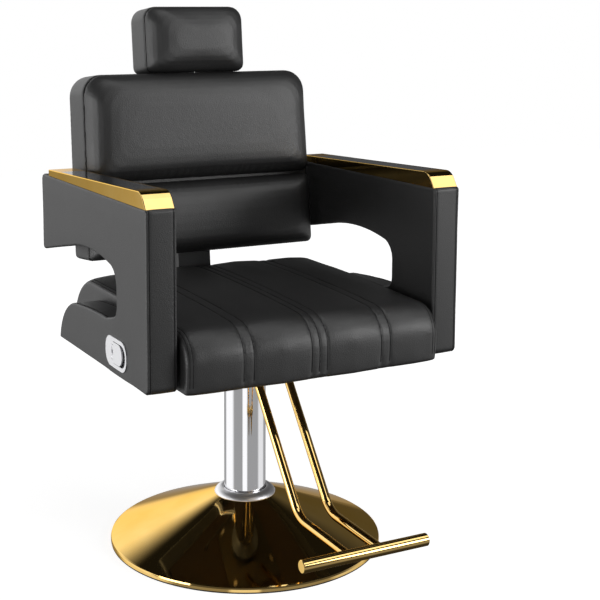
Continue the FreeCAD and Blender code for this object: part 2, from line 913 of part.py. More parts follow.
def seatSlice(x, sink):
    front = s.seatFront.value + sink
    top = s.seatTop.value - sink
    foot = (s.seatBottom - s.seatLip).value
    rear = s.seatRearFoot.value - 0.5 * sink
    rearTop = s.seatRearTop.value
    frontRound = s.seatFrontRound.value
    footRound = s.seatFootRound.value
    footRise = foot + footRound

    def point(y, z):
        return Vector(x, y, z)

    def bowed(start, end, radius):
        chord = end - start
        outward = Vector(0, chord.z, -chord.y).normalize()
        sag = radius - math.sqrt(radius**2 - (chord.Length / 2) ** 2)
        return Part.Arc(start, (start + end) * 0.5 + outward * sag, end).toShape()

    footRear = point(rear, footRise - 4)
    topRear = point(rearTop, top + s.seatRearRise.value)
    topFront = point(front + frontRound, top)
    faceTop = point(front, top - frontRound)
    faceFoot = point(front + 4, footRise)
    edges = [
        Part.LineSegment(point(front + 4 + footRound, foot), point(rear - 8, foot)).toShape(),
        bowed(point(rear - 8, foot), footRear, 9),
        bowed(footRear, topRear, s.seatRearRound.value),
        bowed(topRear, topFront, s.seatTopBow.value),
        bowed(topFront, faceTop, frontRound + 3),
        bowed(faceTop, faceFoot, 600),
        bowed(faceFoot, point(front + 4 + footRound, foot), footRound + 2),
    ]
    return Part.Wire(edges)


def puffAt(x, sink):
    # depth below the flat top: negative where the cushion stands proud
    return sink - crownAt(x)


channel = s.channelDepth.value
half = []
seams = [s.channelMiddle.value, s.channelInner.value, s.channelOuter.value]
half.append((0, channel))
for start, end in zip([0] + seams, seams):
    middle = (start + end) / 2
    narrow = end - start < 30
    if narrow:
        half.append((middle, channel * 0.45))
    else:
        half.append((start + 6, channel * 0.3))
        half.append((middle, -1))
        half.append((end - 6, channel * 0.3))
    half.append((end, channel))
outerMiddle = (seams[-1] + seatHalf) / 2
sideRound = s.seatSideRound.value
half.append((seams[-1] + 6, channel * 0.3))
half.append((outerMiddle, -1))
half.append((seatHalf - 1.5 * sideRound, 0.5))
half.append((seatHalf - 0.5 * sideRound, sideRound * 0.3))
half.append((seatHalf - 0.12 * sideRound, sideRound * 0.62))
half.append((seatHalf, sideRound))
stations = [(-x, sink) for x, sink in reversed(half[1:])] + half
seatForm = document.addObject("Part::Feature", "seat_form")
seatForm.Shape = Part.makeLoft([seatSlice(x, puffAt(x, sink)) for x, sink in stations], True, True)

recessRoof = frameTop + s.softGap
recessHalf = s.seatHalf - s.seatSkirt
seatTools = [
    addBox("boardRecess", -recessHalf, s.boardFront - s.softGap, s.seatBottom - 5,
           2 * recessHalf, s.boardRear - s.boardFront + 2 * s.softGap, recessRoof - s.seatBottom + 5),
    addBox("railRecess", -s.railInner - s.railWide - 2, s.boardRear, s.seatBottom - 5,
           2 * (s.railInner + s.railWide + 2), 200, recessRoof - s.seatBottom + 5),
    addBox("strutSlot", -s.strutSlotHalf, s.strutSlotFront, s.seatBottom - 5, 2 * s.strutSlotHalf, 200, 200),
]
seatTools += [
    addBox("endPlateSlot", -s.seatHalf - 5, end * s.crossTubeY - s.endPlateHalf - 2, frameFoot - s.softGap,
           2 * s.seatHalf + 10, 2 * s.endPlateHalf + 4, recessRoof - frameFoot + s.softGap)
    for end in (-1, 1)
]
seatTools.append(addRod("cableHole", "X", s.cableRadius + s.runFit + 1, s.seatSkirt + 8, -s.seatHalf - 4,
                        s.cableY, s.cableZ))
finishPart(cut("seat_cushion", seatForm, *seatTools), "seat_cushion")

# Arms, their caps and inlays

# the limb's rear corner starts along its sloping underside
limbSlope = math.atan2(s.roofRearZ.value - s.limbRearZ.value, s.armRear.value - s.roofRearY.value)
limbReach = s.limbRound * (1 + math.sin(limbSlope))
limbRise = s.limbRound * math.cos(limbSlope)
armOutline = [
    (s.armFront + s.armCorner, s.armBottom),
    (s.heelY, s.armBottom, s.heelRound, 1),
    (s.sillRearY, s.sillRearZ, s.sillBow, 1),
    (s.sillFrontY, s.sillFrontZ),
    (s.sillNoseY, s.sillNoseZ, s.noseLowRound, -1),
    (s.noseY, s.noseLowZ),
    (s.noseY, s.noseHighZ, s.noseHighRound, -1),
    (s.roofFrontY, s.roofFrontZ, s.roofRound, -1),
    (s.roofRearY, s.roofRearZ),
    (s.armRear - limbReach, s.limbRearZ, s.limbRound, 1),
    (s.armRear, s.limbRearZ + limbRise),
    (s.armRear, s.armTop - s.armCorner, s.armCorner, 1),
    (s.armRear - s.armCorner, s.armTop),
    (s.armFront + s.armEdge, s.armTop, s.armEdge, 1),
    (s.armFront, s.armTop - s.armEdge),
    (s.armFront, s.armBottom + s.armCorner, s.armCorner, 1),
]


def capTopAt(y):
    # the cap's top rises from its rear end to its nose
    slope = (s.capFrontRise - s.capRearRise) / (s.capRear - s.capNoseBack)
    return s.armTop + s.capRearRise + (s.capRear - y) * slope


capOutline = [
    (s.capFront, s.armTop),
    (s.capRear, s.armTop),
    (s.capRear, s.armTop + s.capRearRise),
    (s.capNoseBack, s.armTop + s.capFrontRise, s.capNoseRound, 1),
    (s.capNoseY, s.armTop + s.capFrontRise - s.capNoseDrop),
]
inlayOutline = [
    (s.inlayFront, capTopAt(s.inlayFront) - s.inlayDepth),
    (s.inlayRear, capTopAt(s.inlayRear) - s.inlayDepth),
    (s.inlayRear, capTopAt(s.inlayRear)),
    (s.inlayFront, capTopAt(s.inlayFront)),
]

inlayNear = s.inlayFront + 0.1
inlayFar = s.inlayRear - 0.1

for side, word in ((-1, "right"), (1, "left")):
    inner = side * armInner
    outer = side * (armInner + s.armThick)
    low = outer if side < 0 else inner
    arm = addBody("arm_" + word)
    sketch = addSketch(arm, "YZ_Plane", low)
    drawLoop(sketch, armOutline)
    pad = addPad(arm, sketch, s.armThick)
    faces = (low.value, low.value + s.armThick.value)

    def onAFace(box):
        return box.XLength < 0.01 and min(abs(box.XMin - face) for face in faces) < 0.01

    addChamfer(arm, pad, s.armEdge * 0.4, onAFace)
    holes = addSketch(arm, "YZ_Plane", inner)
    for y in armBoltYs:
        drawCircle(holes, y, armBoltZ, s.armBoltRadius + s.runFit)
    addPocket(arm, holes, s.armBoltReach, side > 0)
    if side < 0:
        cup = addSketch(arm, "YZ_Plane", outer)
        drawLoop(cup, roundedRectangle(
            s.handleFront + s.handleRim - s.holeGap, s.handleRear - s.handleRim + s.holeGap,
            s.handleFoot + s.handleRim - s.holeGap, s.handleTop - s.handleRim + s.holeGap,
            s.handleRound - s.handleRim + s.holeGap))
        addPocket(arm, cup, s.cupDepth + s.holeGap, True)
        cableHole = addSketch(arm, "YZ_Plane", inner)
        drawCircle(cableHole, s.cableY, s.cableZ, s.cableRadius + s.holeGap)
        addPocket(arm, cableHole, s.armThick)
    finishPart(arm, "arm_" + word)

    cap = addBody("cap_" + word)
    sketch = addSketch(cap, "YZ_Plane", low + s.capInset)
    drawLoop(sketch, capOutline)
    pad = addPad(cap, sketch, s.armThick - 2 * s.capInset)
    foot = s.armTop.value

    def aboveFoot(box):
        return box.ZMax > foot + 1

    addFillet(cap, pad, s.capEdge, aboveFoot)
    sketch = addSketch(cap, "YZ_Plane", low + s.capInset + s.inlayInset)
    drawLoop(sketch, inlayOutline[:2] + [
        (y, z + 3) for y, z in inlayOutline[2:]
    ])
    addPocket(cap, sketch, s.armThick - 2 * s.capInset - 2 * s.inlayInset, True)
    finishPart(cap, "cap_" + word)

    platePart("inlay_" + word, "YZ_Plane", low + s.capInset + s.inlayInset + 0.1,
              s.armThick - 2 * s.capInset - 2 * s.inlayInset - 0.2,
              [(inlayNear, capTopAt(inlayNear) - s.inlayDepth),
               (inlayFar, capTopAt(inlayFar) - s.inlayDepth),
               (inlayFar, capTopAt(inlayFar)),
               (inlayNear, capTopAt(inlayNear))])

# Footrest

bracketFoot = mountFoot - s.bracketThick
barStart = Vector(-s.restBarHalf.value, s.restBarY.value, s.restBarZ.value)
barTool = Part.makeCylinder(
    (s.restBarRadius + s.runFit).value, 2 * s.restBarHalf.value, barStart, Vector(1, 0, 0))
for side, word in ((-1, "right"), (1, "left")):
    x = side * s.restHalfGap.value
    bend = Vector(x, s.restBendY.value, s.restBendZ.value)
    top = Vector(x, s.restTopY.value, bracketFoot.value)
    top = top + (top - bend).normalize() * 20
    bar = Vector(x, s.restBarY.value, s.restBarZ.value)
    tube = tubeShape([top, bend, bar], [s.restBend.value], s.restTube.value)
    above = Part.makeBox(200, 200, 60, Vector(x - 100, s.restTopY.value - 100, bracketFoot.value))
    shapePart("footrest_tube_" + word, tube.cut(above).cut(barTool))

bar = addBody("footrest_bar")
barSketch = addSketch(bar, "YZ_Plane", -s.restBarHalf)
drawCircle(barSketch, s.restBarY, s.restBarZ, s.restBarRadius)
barPad = addPad(bar, barSketch, 2 * s.restBarHalf)
addChamfer(bar, barPad, s.restBarEdge, lambda box: box.XLength < 0.01)
finishPart(bar, "footrest_bar")

# Recline hinge

for side, word in ((-1, "right"), (1, "left")):
    start = s.hingePlateInner if side > 0 else -s.hingePlateInner - s.hingePlateThick
    platePart("hinge_plate_" + word, "YZ_Plane", start, s.hingePlateThick,
              roundedRectangle(s.hingePlateFront, s.railRear, s.hingePlateFoot, frameTop, Size(9.0, "9")),
              [(s.pivotY, s.pivotZ, s.pivotPin + s.runFit)])
hingeOuter = s.hingePlateInner + s.hingePlateThick
finishPart(addRod("hinge_pin", "X", s.pivotPin, 2 * hingeOuter - 0.4, -hingeOuter + 0.2,
                  s.pivotY, s.pivotZ), "hinge_pin")
washerThick = s.hingePlateInner - s.strutHalf - 2 * s.runFit
washers = []
for start in (s.strutHalf + s.runFit, -s.hingePlateInner + s.runFit):
    washers.append(addRod("washer", "X", s.pivotBoss - 1, washerThick, start, s.pivotY, s.pivotZ))
washerBore = addRod("washerBore", "X", s.pivotPin + s.runFit, 2 * hingeOuter, -hingeOuter,
                    s.pivotY, s.pivotZ)
washerSet = document.addObject("Part::Compound", "washer_set")
washerSet.Links = washers
finishPart(cut("hinge_washers", washerSet, washerBore), "hinge_washers")

# Lockable gas spring and its release

halfTravel = math.radians(s.reclineTravel.value / 2)
lugY = s.pivotY.value + s.lugLength.value * math.sin(halfTravel)
lugZ = s.pivotZ.value - s.lugLength.value * math.cos(halfTravel)
gasZ = Size((lugZ + s.pivotZ.value - s.lugLength.value) / 2,
            "(Sizes.pivotZ - Sizes.lugLength * (1 + cos(Sizes.reclineTravel / 2)) / 2)")
platePart("release_head", "XZ_Plane", -s.gasFront + s.holeGap, s.gasFront - s.holeGap - s.headBlockFront,
          rectangle(-s.headBlockHalf, s.headBlockHalf, gasZ - s.headBlockHalf, mountFoot),
          [(0, gasZ, s.gasNose + s.runFit)])
rodFit = s.gasRod + s.runFit
cylinder = turnedPart("gas_cylinder", [
    (0, s.valveTip),
    (s.valvePin, s.valveTip),
    (s.valvePin, s.headBlockFront),
    (s.gasNose, s.headBlockFront),
    (s.gasNose, s.gasFront),
    (s.gasCylinder, s.gasFront),
    (s.gasCylinder, s.gasRear),
    (rodFit, s.gasRear),
    (rodFit, s.gasRear - 10),
    (s.gasCylinder - s.gasWall, s.gasRear - 10),
    (s.gasCylinder - s.gasWall, s.gasFront + 6),
    (0, s.gasFront + 6),
])
layAlongY(cylinder, gasZ)

eyeY = Size(lugY, "(Sizes.pivotY + Sizes.lugLength * sin(Sizes.reclineTravel / 2))")
pistonY = s.gasRear - 50
rodBits = [
    addRod("gasPiston", "Y", s.gasCylinder - s.gasWall - s.runFit, 8, 0, pistonY, gasZ),
    addRod("gasShaft", "Y", s.gasRod, eyeY - s.eyeRadius + 2 - pistonY, 0, pistonY, gasZ),
    addRod("gasEye", "X", s.eyeRadius, 2 * s.eyeHalf, -s.eyeHalf, eyeY, gasZ),
]
eyeBore = addRod("gasEyeBore", "X", s.eyeBore, 2 * s.eyeHalf + 2, -s.eyeHalf - 1, eyeY, gasZ)
finishPart(cut("gas_rod", join("gasRodJoined", *rodBits), eyeBore), "gas_rod")

leverFoot = gasZ - s.leverThick / 2
lever = platePart("valve_lever", "XY_Plane", leverFoot, s.leverThick, [
    (s.leverX - 6, s.leverY - 6),
    (4, s.leverY - 3),
    (4, s.leverY + 5.7),
    (s.leverX + 6, s.leverY + 5.7),
    (s.leverX + 4, s.cableDropY + 6),
    (s.leverX - 5, s.cableDropY + 6),
], [(s.leverX, s.leverY, s.leverPin + 2 * s.runFit)])
leverPin = join(
    "lever_pin",
    addRod("leverPinShank", "Z", s.leverPin, mountFoot - leverFoot + 1, s.leverX, s.leverY, leverFoot - 1),
    addRod("leverPinHead", "Z", s.leverPin + 2, 2.5, s.leverX, s.leverY, leverFoot - 2.8),
)
finishPart(leverPin, "lever_pin")

# Release handle in the sitter's right arm

armFace = -armInner - s.armThick
handle = addBody("release_housing")
rimSketch = addSketch(handle, "YZ_Plane", armFace - s.handleProud)
drawLoop(rimSketch, roundedRectangle(s.handleFront, s.handleRear, s.handleFoot, s.handleTop, s.handleRound))
addPad(handle, rimSketch, s.handleProud)
cupSketch = addSketch(handle, "YZ_Plane", armFace)
cupRound = s.handleRound - s.handleRim
drawLoop(cupSketch, roundedRectangle(s.handleFront + s.handleRim, s.handleRear - s.handleRim,
                                     s.handleFoot + s.handleRim, s.handleTop - s.handleRim, cupRound))
addPad(handle, cupSketch, s.cupDepth)
roomSketch = addSketch(handle, "YZ_Plane", armFace)
inset = s.handleRim + s.handleWall
drawLoop(roomSketch, roundedRectangle(s.handleFront + inset, s.handleRear - inset,
                                      s.handleFoot + inset, s.handleTop - inset, cupRound - s.handleWall))
addPocket(handle, roomSketch, s.cupDepth - s.handleWall, True)
gateSketch = addSketch(handle, "YZ_Plane", armFace - s.handleProud)
gateFront = s.handleFront + inset
drawLoop(gateSketch, [
    (gateFront + s.paddleRound, s.paddleFoot - 1),
    (s.paddleRear + 1.5, s.paddleFoot - 1),
    (s.paddleRear + 1.5, s.paddleFoot + 6),
    (s.paddlePinY + s.paddleBarrel + 1, s.paddleFoot + 6),
    (s.paddlePinY + s.paddleBarrel + 1, s.paddleTop - 6),
    (s.paddleRear + 1.5, s.paddleTop - 6),
    (s.paddleRear + 1.5, s.paddleTop + 1),
    (gateFront + s.paddleRound, s.paddleTop + 1, s.paddleRound, 1),
    (gateFront, s.paddleTop + 1 - s.paddleRound),
    (gateFront, s.paddleFoot - 1 + s.paddleRound, s.paddleRound, 1),
])
addPocket(handle, gateSketch, s.handleProud, True)
cableSketch = addSketch(handle, "YZ_Plane", armFace + s.cupDepth)
drawCircle(cableSketch, s.cableY, s.cableZ, s.cableRadius - 1)
addPocket(handle, cableSketch, s.handleWall)
finishPart(handle, "release_housing")

pinX = armFace + 1.8
paddlePinSpan = s.handleTop - s.handleFoot - 2 * inset
finishPart(addRod("paddle_pin", "Z", s.paddlePin, paddlePinSpan, pinX, s.paddlePinY,
                  s.handleFoot + inset), "paddle_pin")

paddle = addBody("release_paddle")
paddleSketch = addSketch(paddle, "YZ_Plane", armFace - s.handleProud - 0.6)
drawLoop(paddleSketch, [
    (s.paddleFront + s.paddleRound - 4, s.paddleFoot),
    (s.paddleRear, s.paddleFoot),
    (s.paddleRear, s.paddleTop),
    (s.paddleFront + s.paddleRound - 4, s.paddleTop, s.paddleRound, 1),
    (s.paddleFront, s.paddleTop + 4 - s.paddleRound),
    (s.paddleFront, s.paddleFoot - 4 + s.paddleRound, s.paddleRound, 1),
])
addPad(paddle, paddleSketch, s.paddleThick)
barrelFoot = s.paddleFoot + 7
barrelTop = s.paddleTop - 7
barrelSketch = addSketch(paddle, "XY_Plane", barrelFoot)
drawCircle(barrelSketch, pinX, s.paddlePinY, s.paddleBarrel)
addPad(paddle, barrelSketch, barrelTop - barrelFoot)
webSketch = addSketch(paddle, "XY_Plane", barrelFoot)
drawLoop(webSketch, rectangle(armFace - s.handleProud - 0.6, armFace - s.handleProud - 0.6 + s.paddleThick,
                              s.paddleRear - 2, s.paddlePinY))
addPad(paddle, webSketch, barrelTop - barrelFoot)
springGap = addSketch(paddle, "XY_Plane", s.paddleFoot + 16)
drawLoop(springGap, rectangle(pinX - 8, pinX + 8, s.paddleRear + 1, s.paddlePinY + 8))
addPocket(paddle, springGap, s.paddleTop - s.paddleFoot - 32, True)
boreSketch = addSketch(paddle, "XY_Plane", barrelFoot)
drawCircle(boreSketch, pinX, s.paddlePinY, s.paddlePin + s.runFit)
addPocket(paddle, boreSketch, barrelTop - barrelFoot, True)
finishPart(paddle, "release_paddle")

coilFoot = s.paddleFoot + 16
coilRoom = s.paddleTop - s.paddleFoot - 32
finishPart(cut(
    "paddle_spring",
    addRod("paddleSpringOuter", "Z", s.paddlePin + 1.2, coilRoom - 1, pinX, s.paddlePinY, coilFoot + 0.5),
    addRod("paddleSpringInner", "Z", s.paddlePin + 0.2, coilRoom + 2, pinX, s.paddlePinY, coilFoot - 1),
), "paddle_spring")

cableRoute = [
    Vector((armFace + s.cupDepth + 0.2).value, s.cableY.value, s.cableZ.value),
    Vector(s.cableDropX.value, s.cableY.value, s.cableZ.value),
    Vector(s.cableDropX.value, s.cableDropY.value, s.cableZ.value),
    Vector(s.cableDropX.value, s.cableDropY.value, gasZ.value),
    Vector(s.cableEndX.value, s.cableDropY.value, gasZ.value),
]
cableBends = [40, s.cableBend.value, s.cableBend.value]
shapePart("release_cable", tubeShape(cableRoute, cableBends, s.cableRadius.value))

# Back, in its own frame on the pivot

strut = addBox("strutPlate", -s.strutHalf, -s.strutThick / 2, 0, 2 * s.strutHalf, s.strutThick, s.strutTop)
boss = addRod("strutBoss", "X", s.pivotBoss, 2 * s.strutHalf, -s.strutHalf, 0, 0)
lugAngle = math.radians(s.backLean.value + s.reclineTravel.value / 2)
lugV = s.lugLength.value * math.sin(lugAngle)
lugW = -s.lugLength.value * math.cos(lugAngle)
lugs = document.addObject("Part::Feature", "strutLugs")
lugShapes = []
for start in (-s.lugInner.value - s.lugThick.value, s.lugInner.value):
    wide = Vector(0, math.cos(lugAngle), math.sin(lugAngle)) * s.lugRound.value
    root = Vector(start, 0, 0)
    tip = Vector(start, lugV, lugW)
    web = Part.Face(Part.makePolygon([root - wide, root + wide, tip + wide, tip - wide, root - wide]))
    eye = Part.makeCylinder(s.lugRound.value, s.lugThick.value, tip, Vector(1, 0, 0))
    lugShapes.append(web.extrude(Vector(s.lugThick.value, 0, 0)).fuse(eye))
lugs.Shape = Part.makeCompound(lugShapes)
lugPinSpan = 2 * (s.lugInner + s.lugThick)
strutCuts = [
    addRod("strutBore", "X", s.pivotBush + s.runFit, 2 * s.strutHalf + 2, -s.strutHalf - 1, 0, 0),
]
lugBore = document.addObject("Part::Feature", "lugBore")
lugBore.Shape = Part.makeCylinder((s.lugPin + s.runFit).value, lugPinSpan.value + 2,
                                  Vector(-lugPinSpan.value / 2 - 1, lugV, lugW), Vector(1, 0, 0))
strutBoltAt = [(side * 24, height) for side in (-1, 1) for height in (174, 232)]
boltHoles = [
    addRod("strutBoltHole", "Y", s.mountBoltRadius + s.holeGap, s.strutThick + 2, x, -s.strutThick / 2 - 1, w)
    for x, w in strutBoltAt
]
strutWhole = cut("back_strut", join("strutJoined", strut, boss, lugs), *strutCuts, lugBore, *boltHoles)
leanBack(finishPart(strutWhole, "back_strut"))

strutBush = cut("strut_bush",
                addRod("bushOuter", "X", s.pivotBush, 2 * s.strutHalf, -s.strutHalf, 0, 0),
                addRod("bushInner", "X", s.pivotPin + s.runFit, 2 * s.strutHalf + 2, -s.strutHalf - 1, 0, 0))
leanBack(finishPart(strutBush, "strut_bush"))

lugPin = shapePart("lug_pin", Part.makeCylinder(
    s.lugPin.value, lugPinSpan.value, Vector(-lugPinSpan.value / 2, lugV, lugW), Vector(1, 0, 0)))
leanBack(lugPin)

strutBolts = hexBolts("strut_bolts", [Vector(x, s.strutThick.value / 2, w) for x, w in strutBoltAt],
                      Vector(0, -1, 0), s.mountBoltRadius.value, s.strutThick.value + 22, 5.0)
leanBack(strutBolts)


def padSlice(v, inset, halfFoot, halfTop, foot, top, cornerFoot, cornerTop):
    # a rounded outline across the back at depth v, drawn in by inset, less so above and below
    foot = foot + 0.8 * inset
    top = top - 0.8 * inset
    reach = (top - foot) / 2 - 1
    roundFoot = min(cornerFoot + 0.25 * inset, reach)
    roundTop = min(cornerTop, reach)
    halfFoot = halfFoot - inset
    halfTop = halfTop - inset
    diagonal = math.sqrt(0.5)

    def point(x, w):
        return Vector(x, v, w)

    edges = []
    for side in (1, -1):
        bottomCorner = [
            point(side * (halfFoot - roundFoot), foot),
            point(side * (halfFoot - roundFoot * (1 - diagonal)), foot + roundFoot * (1 - diagonal)),
            point(side * halfFoot, foot + roundFoot),
        ]
        topCorner = [
            point(side * halfTop, top - roundTop),
            point(side * (halfTop - roundTop * (1 - diagonal)), top - roundTop * (1 - diagonal)),
            point(side * (halfTop - roundTop), top),
        ]
        edges.append((bottomCorner, topCorner))
    (rightFoot, rightTop), (leftFoot, leftTop) = edges
    return Part.Wire([
        Part.LineSegment(leftFoot[0], rightFoot[0]).toShape(),
        Part.Arc(*rightFoot).toShape(),
        Part.LineSegment(rightFoot[2], rightTop[0]).toShape(),
        Part.Arc(*rightTop).toShape(),
        Part.LineSegment(rightTop[2], leftTop[2]).toShape(),
        Part.Arc(*reversed(leftTop)).toShape(),
        Part.LineSegment(leftTop[0], leftFoot[2]).toShape(),
        Part.Arc(*reversed(leftFoot)).toShape(),
    ])


def padForm(name, layers, *outline):
    form = document.addObject("Part::Feature", name)
    form.Shape = Part.makeLoft([padSlice(v, inset, *outline) for v, inset in layers], True, True)
    return form


seam = -s.seamAhead.value
front = seam - s.backCushion.value
rear = seam + s.backThick.value


def halfAt(w):
    share = (w - s.backFoot.value) / (s.backTop.value - s.backFoot.value)
    return s.backHalfFoot.value + share * (s.backHalfTop.value - s.backHalfFoot.value)


boxForm = padForm(
    "back_form", [(rear, 12), (rear - 1.5, 6), (rear - 5, 2), (rear - 12, 0), (seam + 0.2, 0)],
    s.backHalfFoot.value, s.backHalfTop.value, s.backFoot.value, s.backTop.value,
    s.backCornerFoot.value, s.backCornerTop.value)
barV = -s.seamAhead + s.barBack
barFoot = s.backTop - s.barDrop
barTop = s.backTop + s.barRise
sleeveFoot = s.backTop - s.sleeveDrop
sleeveTop = s.backTop - s.neckLength
sleeveRadius = s.barRadius + s.runFit + s.sleeveWall
boxTools = [
    addBox("strutPocket", -s.strutHalf - 0.5, -s.strutThick / 2 - 0.3, s.backFoot - 20,
           2 * s.strutHalf + 1, s.strutThick + 6, s.strutTop - s.backFoot + 20.5),
    addRod("sleeveBore", "Z", sleeveRadius + s.runFit, s.backTop - barFoot + 12, 0, barV, barFoot - 10),
    addRod("neckRecess", "Z", s.neckFlange + s.runFit, 3, 0, barV, s.backTop - 2.5),
]
boxTools += [
    addRod("boxBoltHole", "Y", s.mountBoltRadius + s.runFit, 24, x, -s.strutThick / 2 - 24, w)
    for x, w in strutBoltAt
]
leanBack(finishPart(cut("back_box", boxForm, *boxTools), "back_box"))

cushionLayers = [
    (seam - 0.1, 1), (seam - 6, 1.5), (seam - 14, 5), (seam - 22, 10), (seam - 30, 18),
    (front + 7, 29), (front + 3, 44), (front + 1, 65), (front, 90),
]
splitLow = s.cushionSplit.value - s.splitGap.value / 2
splitHigh = s.cushionSplit.value + s.splitGap.value / 2
lower = padForm("lower_cushion", cushionLayers, halfAt(s.backFoot.value), halfAt(splitLow),
                s.backFoot.value, splitLow, s.backCornerFoot.value, 14)
leanBack(finishPart(lower, "lower_cushion"))
upper = padForm("upper_cushion", cushionLayers, halfAt(splitHigh), halfAt(s.backTop.value),
                splitHigh, s.backTop.value, 14, s.backCornerTop.value)
leanBack(finishPart(upper, "upper_cushion"))

sleeveTube = cut("headrest_sleeve",
                 addRod("sleeveOuter", "Z", sleeveRadius, sleeveTop - sleeveFoot, 0, barV, sleeveFoot),
                 addRod("sleeveInner", "Z", s.barRadius + s.runFit, sleeveTop - sleeveFoot + 2,
                        0, barV, sleeveFoot - 1))
leanBack(finishPart(sleeveTube, "headrest_sleeve"))
neck = cut("headrest_bush",
           join("neckJoined",
                addRod("neckTube", "Z", sleeveRadius, s.backTop - sleeveTop, 0, barV, sleeveTop),
                addRod("neckRing", "Z", s.neckFlange, 2.3, 0, barV, s.backTop - 2.3)),
           addRod("neckBore", "Z", s.barRadius + s.runFit, s.neckLength + 2, 0, barV, sleeveTop - 1))
leanBack(finishPart(neck, "headrest_bush"))

# Headrest

headFootW = s.backTop.value + s.headLift.value
headTopW = headFootW + s.headHeight.value
headSeam = seam + s.headSeamBack.value
headRear = headSeam + s.headBehind.value
headFront = headSeam - s.headAhead.value
headForm = padForm(
    "headrest_form",
    [(headRear, 12), (headRear - 1.5, 6), (headRear - 5, 2), (headRear - 12, 0), (headSeam + 2, 0),
     (headSeam, 1.6), (headSeam - 6, 1.5), (headFront + 25, 5), (headFront + 18, 10), (headFront + 11, 17),
     (headFront + 5, 27), (headFront + 1.5, 40), (headFront, 60)],
    s.headHalf.value, s.headHalf.value, headFootW, headTopW, s.headCornerFoot.value, s.headCornerTop.value)
headBore = addRod("headBore", "Z", s.barRadius + s.runFit, barTop - s.backTop + 1, 0, barV, s.backTop - 1)
leanBack(finishPart(cut("headrest_pad", headForm, headBore), "headrest_pad"))
bar = cut("headrest_bar",
          addRod("barTube", "Z", s.barRadius, barTop - barFoot, 0, barV, barFoot),
          addRod("barRoom", "Z", s.barRadius - s.barWall, barTop - barFoot, 0, barV,
                 barFoot - s.barWall))
leanBack(finishPart(bar, "headrest_bar"))

# Build, check and write

document.recompute()
faults = [
    thing.Name for thing in document.Objects if "Invalid" in thing.State or "Error" in thing.State
]
for thing in parts:
    if thing.Shape.isNull() or not thing.Shape.isValid() or not thing.Shape.Solids:
        faults.append(thing.Label)
if faults:
    raise RuntimeError("these did not build: " + ", ".join(faults))

os.makedirs("parts", exist_ok=True)
for thing in parts:
    thing.Shape.exportStep("parts/%s.step" % thing.Label)
print("%d parts" % len(parts))
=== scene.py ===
import json
import math

import bpy
import numpy as np
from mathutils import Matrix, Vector
from mathutils.bvhtree import BVHTree
from mathutils.kdtree import KDTree

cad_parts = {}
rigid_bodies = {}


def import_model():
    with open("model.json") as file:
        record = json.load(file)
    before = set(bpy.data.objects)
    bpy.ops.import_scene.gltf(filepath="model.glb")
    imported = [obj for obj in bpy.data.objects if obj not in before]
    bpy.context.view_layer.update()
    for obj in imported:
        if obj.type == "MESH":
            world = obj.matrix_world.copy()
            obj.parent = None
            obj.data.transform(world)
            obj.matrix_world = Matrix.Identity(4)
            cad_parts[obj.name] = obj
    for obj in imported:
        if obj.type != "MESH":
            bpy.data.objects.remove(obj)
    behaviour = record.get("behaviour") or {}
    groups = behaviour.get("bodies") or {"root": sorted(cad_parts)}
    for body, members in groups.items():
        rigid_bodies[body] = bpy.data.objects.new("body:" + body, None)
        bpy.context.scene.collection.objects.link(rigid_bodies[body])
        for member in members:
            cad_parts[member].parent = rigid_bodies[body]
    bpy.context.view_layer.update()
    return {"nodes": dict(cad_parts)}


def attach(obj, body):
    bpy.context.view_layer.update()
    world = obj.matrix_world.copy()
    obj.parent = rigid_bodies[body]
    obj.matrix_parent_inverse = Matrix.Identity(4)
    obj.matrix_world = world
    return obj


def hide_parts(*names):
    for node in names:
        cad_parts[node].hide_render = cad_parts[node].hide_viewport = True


for leftover in list(bpy.data.objects):
    bpy.data.objects.remove(leftover)

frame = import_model()
nodes = frame["nodes"]
scene = bpy.context.scene
print("frame loaded:", len(nodes), "nodes")


# Small tools

def deselect():
    for thing in bpy.context.selected_objects:
        thing.select_set(False)


def pick(piece):
    deselect()
    piece.select_set(True)
    bpy.context.view_layer.objects.active = piece


def finishWith(piece, kind, **settings):
    # adds a modifier and applies it
    pick(piece)
    modifier = piece.modifiers.new(kind.lower(), kind)
    for name, value in settings.items():
        setattr(modifier, name, value)
    bpy.ops.object.modifier_apply(modifier=modifier.name)


def getPoints(piece):
    points = np.empty(len(piece.data.vertices) * 3, np.float32)
    piece.data.vertices.foreach_get("co", points)
    return points.reshape(-1, 3).astype(float)


def setPoints(piece, points):
    piece.data.vertices.foreach_set("co", points.astype(np.float32).ravel())
    piece.data.update()


def getNormals(piece):
    normals = np.empty(len(piece.data.vertices) * 3, np.float32)
    piece.data.vertices.foreach_get("normal", normals)
    return normals.reshape(-1, 3).astype(float)


def smoothStep(low, high, value):
    share = np.clip((value - low) / (high - low), 0, 1)
    return share * share * (3 - 2 * share)


# Camera

cameraSizes = {
    "place": (-1.2289, -2.4182, 1.1482),
    "turn": -26.94,
    "tilt": 81.88,
    "lens": 77.96,
    "shiftX": 0.0918,
    "shiftY": -0.1825,
}
camera = bpy.data.objects.new("camera", bpy.data.cameras.new("camera"))
scene.collection.objects.link(camera)
camera.location = cameraSizes["place"]
camera.rotation_euler = (math.radians(cameraSizes["tilt"]), 0, math.radians(cameraSizes["turn"]))
camera.data.lens = cameraSizes["lens"]
camera.data.shift_x = cameraSizes["shiftX"]
camera.data.shift_y = cameraSizes["shiftY"]
camera.data.clip_end = 100
scene.camera = camera
scene.view_settings.view_transform = "Standard"


# Shader maths

